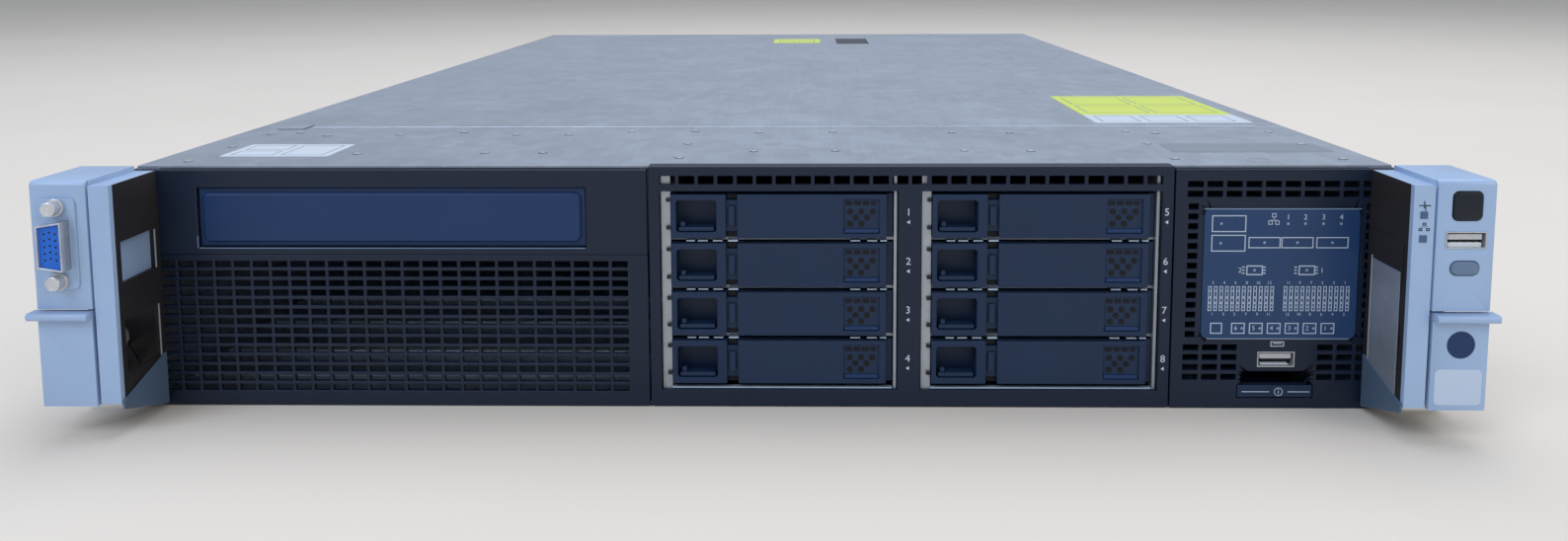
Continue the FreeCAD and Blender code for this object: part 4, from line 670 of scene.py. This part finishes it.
# The panel looks smooth and deep blue. Pale strips of painted highlight lie along its upper and lower edges.
panel_plastic = fine_skin("smooth_display_abs", ("#1e3a60", "#24426c"), 0.3, 0.0003)
panel = skin_of("display_panel", "status_panel", 0.25, 3)
rim = join([outline("panel_edge", 156.8, 211.3, 72.1, 72.5, 0, -0.28, 0.12),
            outline("panel_edge", 158.8, 209.0, 25.2, 25.6, 0, -0.28, 0.12)], "panel_rim")
fit(panel, "root", "display_plastic", panel_plastic, "display_panel")
panel_edge_highlight = fine_skin("display_edge_painted_highlight", ("#6f829a", "#7b8ea6"), 0.35, 0.0003)
fit(rim, "root", "display_plastic", panel_edge_highlight)

ink_y = -0.31
marks = [outline("mark", 159.4, 171.4, 64, 70, 0.35, ink_y),
         outline("mark", 159.4, 171.4, 57, 63, 0.35, ink_y)]
marks += [lettering(str(n), x, 69.3, 1.9, ink_y) for n, x in ((1, 186), (2, 192), (3, 198.3), (4, 204.5))]
for x in (178, 189.5, 201.7):
    marks.append(outline("mark", x - 5.6, x + 5.6, 58.2, 62.2, 0.35, ink_y))
for x0, number, side in ((172, 2, 169.8), (190.3, 1, 198.5)):
    marks.append(outline("mark", x0, x0 + 5.8, 48.5, 52, 0.4, ink_y))
    for pin in range(3):
        for px in (x0 - 1.1, x0 + 6.3):
            marks.append(outline("mark", px - 0.4, px + 0.5, 49.0 + pin * 1.1, 49.4 + pin * 1.1, 0, ink_y))
    marks.append(lettering(str(number), side, 50.2, 1.8, ink_y))
for first_x in (158.9, 185.4):
    module = outline("mark", first_x, first_x + 1.25, 35.5, 44.5, 0.28, ink_y)
    row(module, 12, 1.98, 0)
    marks.append(module)
    for z in (38, 40):
        tick = outline("mark", first_x + 0.4, first_x + 0.85, z, z + 0.8, 0, ink_y)
        row(tick, 12, 1.98, 0)
        marks.append(tick)
    for k in range(6):
        upper = (2, 4, 6, 8, 10, 12) if first_x < 170 else (11, 9, 7, 5, 3, 1)
        lower = (1, 3, 5, 7, 9, 11) if first_x < 170 else (12, 10, 8, 6, 4, 2)
        marks.append(lettering(str(upper[k]), first_x + 1.6 + 3.96 * k, 45.7, 1.05, ink_y))
        marks.append(lettering(str(lower[k]), first_x + 1.6 + 3.96 * k, 34.3, 1.05, ink_y))
for k in range(6):
    marks.append(outline("mark", 167.4 + 6.3 * k, 172.2 + 6.3 * k, 27.2, 31.2, 0.35, ink_y))
    marks.append(lettering(str(6 - k), 169.0 + 6.3 * k, 29.2, 1.6, ink_y))
marks.append(outline("mark", 160.0, 164.2, 27.2, 31.2, 0.35, ink_y))
for x, z, s in ((181, 70.0, 0.75), (179.8, 67.4, 0.75), (182.2, 67.4, 0.75)):
    marks.append(outline("mark", x - s, x + s, z - s, z + s, 0.25, ink_y))
marks.append(outline("mark", 180.9, 181.1, 68.1, 69.4, 0, ink_y))
marks.append(outline("mark", 179.8, 182.2, 68.1, 68.3, 0, ink_y))
panel_ink = film("light_grey_ink", "#aab8ca", "#b3c1d2", 0.5)
fit(join(marks, "status_outlines"), "root", "", panel_ink)

# Small lamps in the panel: frosted lenses 1 mm across, unlit and grey-blue, smaller over the memory modules.
panel_face = -0.3
lamp_places = [(162.7, 67), (162.7, 60), (186, 67), (192, 67), (198.3, 67), (204.5, 67), (178, 60.2),
               (189.5, 60.2), (201.7, 60.2), (174.9, 50.3), (193.2, 50.3)]
lamp_places += [(171.2 + 6.3 * k, 29.2) for k in range(6)]
lamps = [disc("panel_lamp", x, panel_face, z, 0.5, 0.08, "Y", 16, 0.03) for x, z in lamp_places]
for first_x in (159.5, 186.0):
    for z in (42.8, 37.0):
        dot = disc("panel_lamp", first_x, panel_face, z, 0.36, 0.08, "Y", 10, 0.02)
        row(dot, 12, 1.98, 0)
        lamps.append(dot)
lens_plastic = fine_skin("frosted_lens_plastic", ("#7f92a8", "#8b9db3"), 0.3, 0.0003)
fit(join(lamps, "panel_lamps"), "root", "clear_lens", lens_plastic)


# ---------------------------------------------------------------- ports and information tab
# The ports are folded from plated steel sheet, each with a moulded tongue that carries four contacts: dark
# in the bezel's port, with a pale strip below it, and pale in the ear's. The information tab is a black ABS
# card with printed lines, pulled out from under the bezel's port.

# Nickel looks brighter and sharper than zinc. The tongues are satin, dark grey or nearly white.
plated = zinc_coat("nickel_plated_steel", "#a9aeb4", "#c6cacf", 0.24)
for node in ("front_usb_ports", "rear_ports", "network_jacks"):
    fit(skin_of(node, node + "_shells", 0.12, 1), "root", "plated_steel", plated, node)
button_abs = fine_skin("dark_tongue_plastic", ("#232d40", "#2a3549"), 0.4, 0.0003)
tongue_plastic = fine_skin("contact_tongue_plastic", ("#c8d0d8", "#d5dce2"), 0.4, 0.0003)
x, z = 183.7, 17.8
ear_x, ear_z = 231.7, 68.2
front_tongue = bar("port_tongue", x - 5.4, x + 5.4, 1.4, 9, z + 0.45, z + 1.75, 0.25)
fit(front_tongue, "root", "button_plastic", button_abs)
tongues = [bar("tongue", x - 5.2, x + 4.6, 0.3, 3.5, z - 2.15, z - 1.75, 0.12),
           bar("tongue", ear_x - 5.6, ear_x + 5.6, -28.2, -20, ear_z - 2.6, ear_z - 1.0, 0.25)]
fit(join(tongues, "port_tongues"), "root", "button_plastic", tongue_plastic)
# The ports' backs are closed by dark plates of painted shade.
cavities = [bar("port_cavity", x - 5.7, x + 5.7, 2.2, 2.6, z - 1.7, z + 2.1, 0.1, 1),
            bar("port_cavity", ear_x - 5.7, ear_x + 5.7, -27.4, -27.0, ear_z - 0.9, ear_z + 2.1, 0.1, 1)]
fit(join(cavities, "port_cavities"), "root", "button_plastic", painted_hole_shade)
contacts = bar("port_contacts", x - 4.6, x - 3.4, 0.95, 7, z + 0.2, z + 0.42, 0.05)
row(contacts, 4, 2.6, 0)
second = copy_at(contacts, ear_x - x, -29.1, ear_z - z - 1.28)
fit(join([contacts, second], "port_contacts"), "root", "plated_steel", plated)

fit(skin_of("info_tab", "information_card", 0.35, 2), "info_tab", "black_plastic", blank_plastic, "info_tab")
tab_z, tab_ink = 5.9, -0.21
tab_marks = [outline("mark", 172, 181.7, tab_z - 0.15, tab_z + 0.15, 0, tab_ink),
             outline("mark", 188.3, 196.0, tab_z - 0.15, tab_z + 0.15, 0, tab_ink),
             outline("mark", 184.85, 185.15, tab_z - 0.8, tab_z + 0.4, 0, tab_ink),
             outline("mark", 184.85, 185.15, tab_z + 0.65, tab_z + 0.95, 0, tab_ink)]
put_away()
bpy.ops.mesh.primitive_torus_add(major_radius=0.0014, minor_radius=0.00014, major_segments=24,
                                 minor_segments=6, location=(0.185, -0.00022, tab_z / 1000),
                                 rotation=(radians(90), 0, 0))
ring = bpy.context.object
bpy.ops.object.transform_apply(location=True, rotation=True, scale=True)
tab_marks.append(ring)
fit(join(tab_marks, "tab_lines"), "info_tab", "", panel_ink)

# Over the port a plain sign is printed: the outline of a port with the tongue in it.
mark_x, mark_z, print_y = 184.0, 23.4, -0.03
port_sign = [outline("mark", mark_x - 2.4, mark_x + 2.4, mark_z - 0.95, mark_z + 0.95, 0.32, print_y),
             outline("mark", mark_x - 1.5, mark_x + 1.5, mark_z + 0.05, mark_z + 0.4, 0, print_y)]
fit(join(port_sign, "port_mark"), "root", "", panel_ink)


# ---------------------------------------------------------------- rack ears and levers
# Each ear is a bent steel bracket, painted dark, under a cap moulded in ABS and painted silver. The lever
# below the cap swings down to show the rack screw; its ledge stands out for a finger.

def cut_off(piece, point, slant):
    """Cuts away what lies beyond a plane through a point, and closes the cut."""
    open_edit(piece)
    bpy.ops.mesh.bisect(plane_co=point, plane_no=slant, clear_outer=True, use_fill=True)
    close_edit()


# The silver looks pale blue and satin, and the bracket's paint brown-black and dull.
silver_plastic = fine_skin("silver_painted_abs", ("#94afd2", "#a0b9da"), 0.32, 0.0004, 0.5)
bracket_paint = fine_skin("dark_bracket_paint", ("#211f22", "#2a282b"), 0.5, 0.0007)
lower_slant = (0, -0.294, -0.956)
steelwork = skin_of("ear_brackets", "ear_steelwork", 0.2, 1, False)
cut_off(steelwork, (0, -0.0286, 0.0098), lower_slant)
fit(steelwork, "root", "bracket_steel", bracket_paint, "ear_brackets")
for side in ("left", "right"):
    fit(skin_of(side + "_ear_cap", side + "_ear_shell", 0.35, 2, False), "root", "ear_plastic",
        silver_plastic, side + "_ear_cap")
    fit(skin_of(side + "_lever", side + "_ear_lever", 0.35, 2, False), side + "_lever", "ear_plastic",
        silver_plastic, side + "_lever")

# The brackets' windows have bright cut edges. In the right one a plate covers the upper window and a liner
# closes the lower.
edges = []
for side, z0, z1 in ((-1, 52, 66), (-1, 20, 39), (1, 11, 57)):
    edges.append(bar("window_edge", side * 213.9 - 0.25, side * 213.9 + 0.25, -4.5, -3.9, z0, z1, 0.15, 1))
fit(join(edges, "ear_window_edges"), "root", "bracket_steel", cage_zinc)
liner = bar("ear_window_liner", 213.85, 214.15, -23.5, -4.5, 11, 56, 0.1, 1)
fit(liner, "root", "bracket_steel", galvanised)
cover = bar("ear_window_cover", 213.95, 214.18, -24.4, -3.6, 51.6, 66.4, 0.1, 1)
fit(cover, "root", "bracket_steel", bracket_paint)
coat(cage_zinc, "rack_screws", "rail_studs")

# Two plain plates lie on the right lever: a dark round one above a matt pale one, both left bare.
ear_face = -29.0
seat_ring = disc("bare_round_place", 232, ear_face, 33, 4.6, 0.12, "Y", 40, 0.05)
seat_plate = bar("bare_plate", 224.0, 239.4, -29.14, ear_face, 12.5, 24.7, 0)
bevel_edges(seat_plate, edges_along(seat_plate, 1, 0.1), 1.6, 4)
place_plastic = fine_skin("silver_matt_abs", ("#b3c6de", "#bccde2"), 0.4, 0.0004)
fit(seat_ring, "right_lever", "ear_plastic", dark_plastic)
fit(seat_plate, "right_lever", "ear_plastic", place_plastic)

# Under each ear a nylon foot, grey and satin, is cut at a slant above and below.
upper_slant = (0, -0.285, 0.96)
foot_plastic = fine_skin("grey_foot_nylon", ("#4a5d73", "#536780"), 0.42, 0.0004)
for side in (-1, 1):
    foot = bar("ear_foot", 213.4, 214.2, -28.6, -1.6, 1.6, 20.5, 0)
    cut_off(foot, (0, -0.0286, 0.0125), upper_slant)
    cut_off(foot, (0, -0.0286, 0.0095), lower_slant)
    round_edges(foot, 0.25, 2)
    if side < 0:
        foot.data.transform(Matrix.Scale(-1, 4, (1, 0, 0)))
        foot.data.flip_normals()
    foot.name = "left_ear_foot" if side < 0 else "right_ear_foot"
    fit(foot, "root", "ear_plastic", foot_plastic)

# The right ear has a dark power button, a blue-grey locator button and two square frosted lamps, with small
# plain marks printed beside the lamps.
button_plastic = fine_skin("dark_button_abs", ("#0f1722", "#141d2a"), 0.35, 0.0003)
locator_plastic = fine_skin("blue_grey_button_abs", ("#5f7590", "#687f9b"), 0.35, 0.0003)
for name, finish in (("power", button_plastic), ("locator", locator_plastic)):
    fit(skin_of(name + "_button", name + "_key", 0.25, 2), name + "_button", "button_plastic", finish,
        name + "_button")
lens_finish = fine_skin("frosted_square_lens", ("#46597a", "#4e6384"), 0.3, 0.0003)
fit(skin_of("indicator_lenses", "square_lenses", 0.2, 2), "root", "clear_lens", lens_finish,
    "indicator_lenses")
ear_print = -29.03
icon = [outline("icon", x0, x1, z0, z1, line, ear_print) for x0, x1, z0, z1, line in (
    (216.2, 217.4, 71.2, 72.2, 0.35), (218.6, 219.8, 71.2, 72.2, 0.35), (217.4, 218.6, 73.0, 74.0, 0.35),
    (216.8, 219.2, 72.5, 72.65, 0), (216.0, 217.5, 79.45, 79.85, 0), (217.5, 217.9, 78.7, 81.2, 0),
    (218.0, 218.3, 77.9, 80.0, 0), (218.3, 219.8, 79.45, 79.85, 0))]
ear_ink = film("dark_ear_ink", "#26334a", "#2c3a52", 0.5)
fit(join(icon, "ear_icons"), "root", "", ear_ink)


# ---------------------------------------------------------------- video connector
# A fifteen-pole socket: a nickel-plated shell on a flange in the ear's silver, a blue moulded insert with
# three rows of holes, and a round jackscrew above and below it.

# The plate looks bright and nearly mirror-smooth.
chrome = zinc_coat("bright_nickel_plate", "#b9bdc2", "#d3d6d9", 0.16)
connector = skin_of("video_connector", "video_socket", 0)
round_edges(connector, 0.2, 2)
flange = copy_at(connector, 0, 0, 0)
flange.name = "video_flange"
for piece, rear in ((connector, False), (flange, True)):
    open_edit(piece)
    bpy.ops.mesh.bisect(plane_co=(0, -0.03005, 0), plane_no=(0, 1, 0), clear_outer=not rear, clear_inner=rear,
                        use_fill=True)
    close_edit()
fit(connector, "root", "plated_steel", chrome, "video_connector")
fit(flange, "root", "ear_plastic", silver_plastic)
blue_plastic = fine_skin("blue_moulded_insulator", ("#1a5fc4", "#2169d0"), 0.35, 0.0003)
insulator = skin_of("video_insert", "video_insulator", 0)
fit(insulator, "root", "blue_plastic", blue_plastic, "video_insert")
socket_x, socket_z, column_pitch, pole_pitch, stagger = -231.7, 66.8, 1.9, 2.2, 0.55
poles = [disc("pole", socket_x + (column_pitch * column - column_pitch), -33.95,
              socket_z + (k - 2) * pole_pitch + (stagger if column == 1 else 0),
              0.42, 0.06, "Y", 10, 0.02) for column in range(3) for k in range(5)]
pole_shade = film("pole_shadow_plastic", "#0a1020", "#0d1428", 0.6)
fit(join(poles, "video_poles"), "root", "blue_plastic", pole_shade)
screw_reach = 12.5
screws = []
for z in (socket_z - screw_reach, socket_z + screw_reach):
    screws.append(disc("jackscrew_collar", socket_x, -29.8, z, 3.1, 1.5, "Y", 28, 0.3))
    screws.append(disc("jackscrew_barrel", socket_x, -31.3, z, 2.5, 3.0, "Y", 24, 0.35))
fit(join(screws, "video_jackscrews"), "root", "plated_steel", chrome)


# ---------------------------------------------------------------- hood latch
# A moulded pan hangs under the opening in the hood. The latch in it is a dark ABS handle that
# turns about a pin at its rear end.

# The pan looks nearly black and matt. The handle is a dark grey with a little more shine.
pan_plastic = fine_skin("black_latch_pan", ("#15181d", "#1b1f25"), 0.5, 0.0005)
fit(skin_of("latch_housing", "latch_pan", 0.3, 2, False), "access_panel", "duct_plastic", pan_plastic,
    "latch_housing")
handle_abs = fine_skin("dark_grey_latch_abs", ("#262d36", "#2d3540"), 0.45, 0.0004)
fit(skin_of("hood_latch", "latch_handle", 0.6, 3), "hood_latch", "release_plastic", handle_abs, "hood_latch")


# ---------------------------------------------------------------- board, processors and memory
# The system board is green fibreglass under solder mask, with copper runs a millimetre wide. Extruded
# aluminium heatsinks stand on the processors between banks of memory modules in black sockets.

def solder_mask(name, dark, light):
    """Fibreglass board: green lacquer over straight copper runs about a millimetre wide."""
    material, tree, shader, place = start_finish(name, {"Roughness": 0.35})
    runs = add_node(tree, "TexWave", {"Scale": 1 / 0.004, "Distortion": 2.5, "Detail": 1.0,
                                      "wave_type": "BANDS"}, {"Vector": place})
    cells = add_node(tree, "TexVoronoi", {"Scale": 1 / 0.012, "distance": "CHEBYCHEV"}, {"Vector": place})
    both = add_node(tree, "Mix", {"data_type": "FLOAT", "Factor": 0.5},
                    {"A": runs.outputs["Fac"], "B": cells.outputs["Distance"]})
    tone = add_node(tree, "ValToRGB", {}, {"Fac": both.outputs["Result"]})
    tone.color_ramp.elements[0].color = linear(dark)
    tone.color_ramp.elements[1].color = linear(light)
    rise = add_node(tree, "Bump", {"Strength": 0.2, "Distance": 0.00005}, {"Height": runs.outputs["Fac"]})
    tree.links.new(tone.outputs["Color"], shader.inputs["Base Color"])
    tree.links.new(rise.outputs["Normal"], shader.inputs["Normal"])
    return material


board_mask = solder_mask("green_solder_mask", "#0f3a26", "#1c5a3a")
coat(board_mask, "system_board", "drive_backplane", "memory_modules")
# Drawn aluminium looks pale and clean. The nylon of sockets, duct and fans is nearly black and matt.
fins = zinc_coat("extruded_aluminium", "#b4b7ba", "#c9cbcd", 0.3)
coat(fins, "processor_heatsinks")
moulded = fine_skin("moulded_black_nylon", ("#15171b", "#1c1f24"), 0.5, 0.0005)
coat(moulded, "memory_sockets", "air_baffle", "fan_frames", "supply_rotor_1", "supply_rotor_2",
     *["fan_rotor_%d" % k for k in range(1, 7)])
coat(cage_zinc, "fan_cage")


# ---------------------------------------------------------------- rear of the server
# The rear wall, the slot covers and the supplies' cases are bare zinc-coated steel. Thumbscrews hold the
# risers, and each supply has a bent handle, a coloured release latch and a fan behind a wire guard.

fit(skin_of("rear_panel", "rear_wall", 0.2, 1, False), "root", "galvanised_steel", galvanised, "rear_panel")
coat(cage_zinc, "slot_covers")
coat(galvanised, "riser_cages", "supply_bay")
# The release latches look wine red and satin, so that a hand finds them. The cases are a cooler, paler zinc.
touch_plastic = fine_skin("wine_red_touch_abs", ("#6d2430", "#782a37"), 0.4, 0.0004)
case_zinc = zinc_coat("supply_case_zinc", "#9a9ea4", "#b4b8bd", 0.36)
rear_face = 697.5
for number in (1, 2):
    body = "supply_%d" % number
    fit(skin_of(body, body + "_case", 0.25, 1, False), body, "plated_steel", case_zinc, body)
    latch = "supply_latch_%d" % number
    fit(skin_of(latch, "supply_release_%d" % number, 0.35, 2), latch, "release_plastic", touch_plastic, latch)
    base_left, _, base_low = [value * 1000 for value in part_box(body)[0]]
    fan_x, fan_z = base_left + 24, base_low + 19.8
    guard = []
    for radius in (6, 11, 16):
        put_away()
        bpy.ops.mesh.primitive_torus_add(major_radius=radius / 1000, minor_radius=0.0005, major_segments=36,
                                         minor_segments=6, rotation=(radians(90), 0, 0),
                                         location=(fan_x / 1000, (rear_face + 0.6) / 1000, fan_z / 1000))
        ring = bpy.context.object
        bpy.ops.object.transform_apply(location=True, rotation=True, scale=True)
        guard.append(ring)
    fit(join(guard, body + "_fan_guard"), body, "plated_steel", chrome)
    lamp = disc(body + "_lamp", base_left + 80.5, rear_face + 0.4, base_low + 33, 1.2, 0.4, "Y", 16, 0.1)
    fit(lamp, body, "clear_lens", lens_plastic)

screw_z = 80
knobs = []
for x in (-118, 78, 10.5, 205):
    knobs.append(disc("thumbscrew", x, 701.5, screw_z, 3.6, 3.0, "Y", 20, 0.5))
    knobs.append(bar("thumbscrew_slot", x - 2.4, x + 2.4, 701.4, 701.8, screw_z - 0.4, screw_z + 0.4, 0.1, 1))
fit(join(knobs, "riser_thumbscrews"), "root", "plated_steel", chrome)

# Each network jack has a black core and eight contact springs in its mouth.
first_jack, jack_pitch = 48.6, 17.4
cores = [bar("jack_core", x - 5.4, x + 5.4, 686.5, 688.5, 12.9, 19.9, 0.2, 1)
         for x in (first_jack, 66.0, 83.4, 100.8, 118.2)]
springs = bar("jack_springs", first_jack - 3.6, first_jack - 3.1, 686, 694, 19.3, 19.7, 0.1, 1)
row(springs, 8, 0.95, 0)
cores += [copy_at(springs, jack_pitch * k, 0, 0) for k in range(1, 5)] + [springs]
fit(join(cores, "jack_insides"), "root", "button_plastic", moulded)
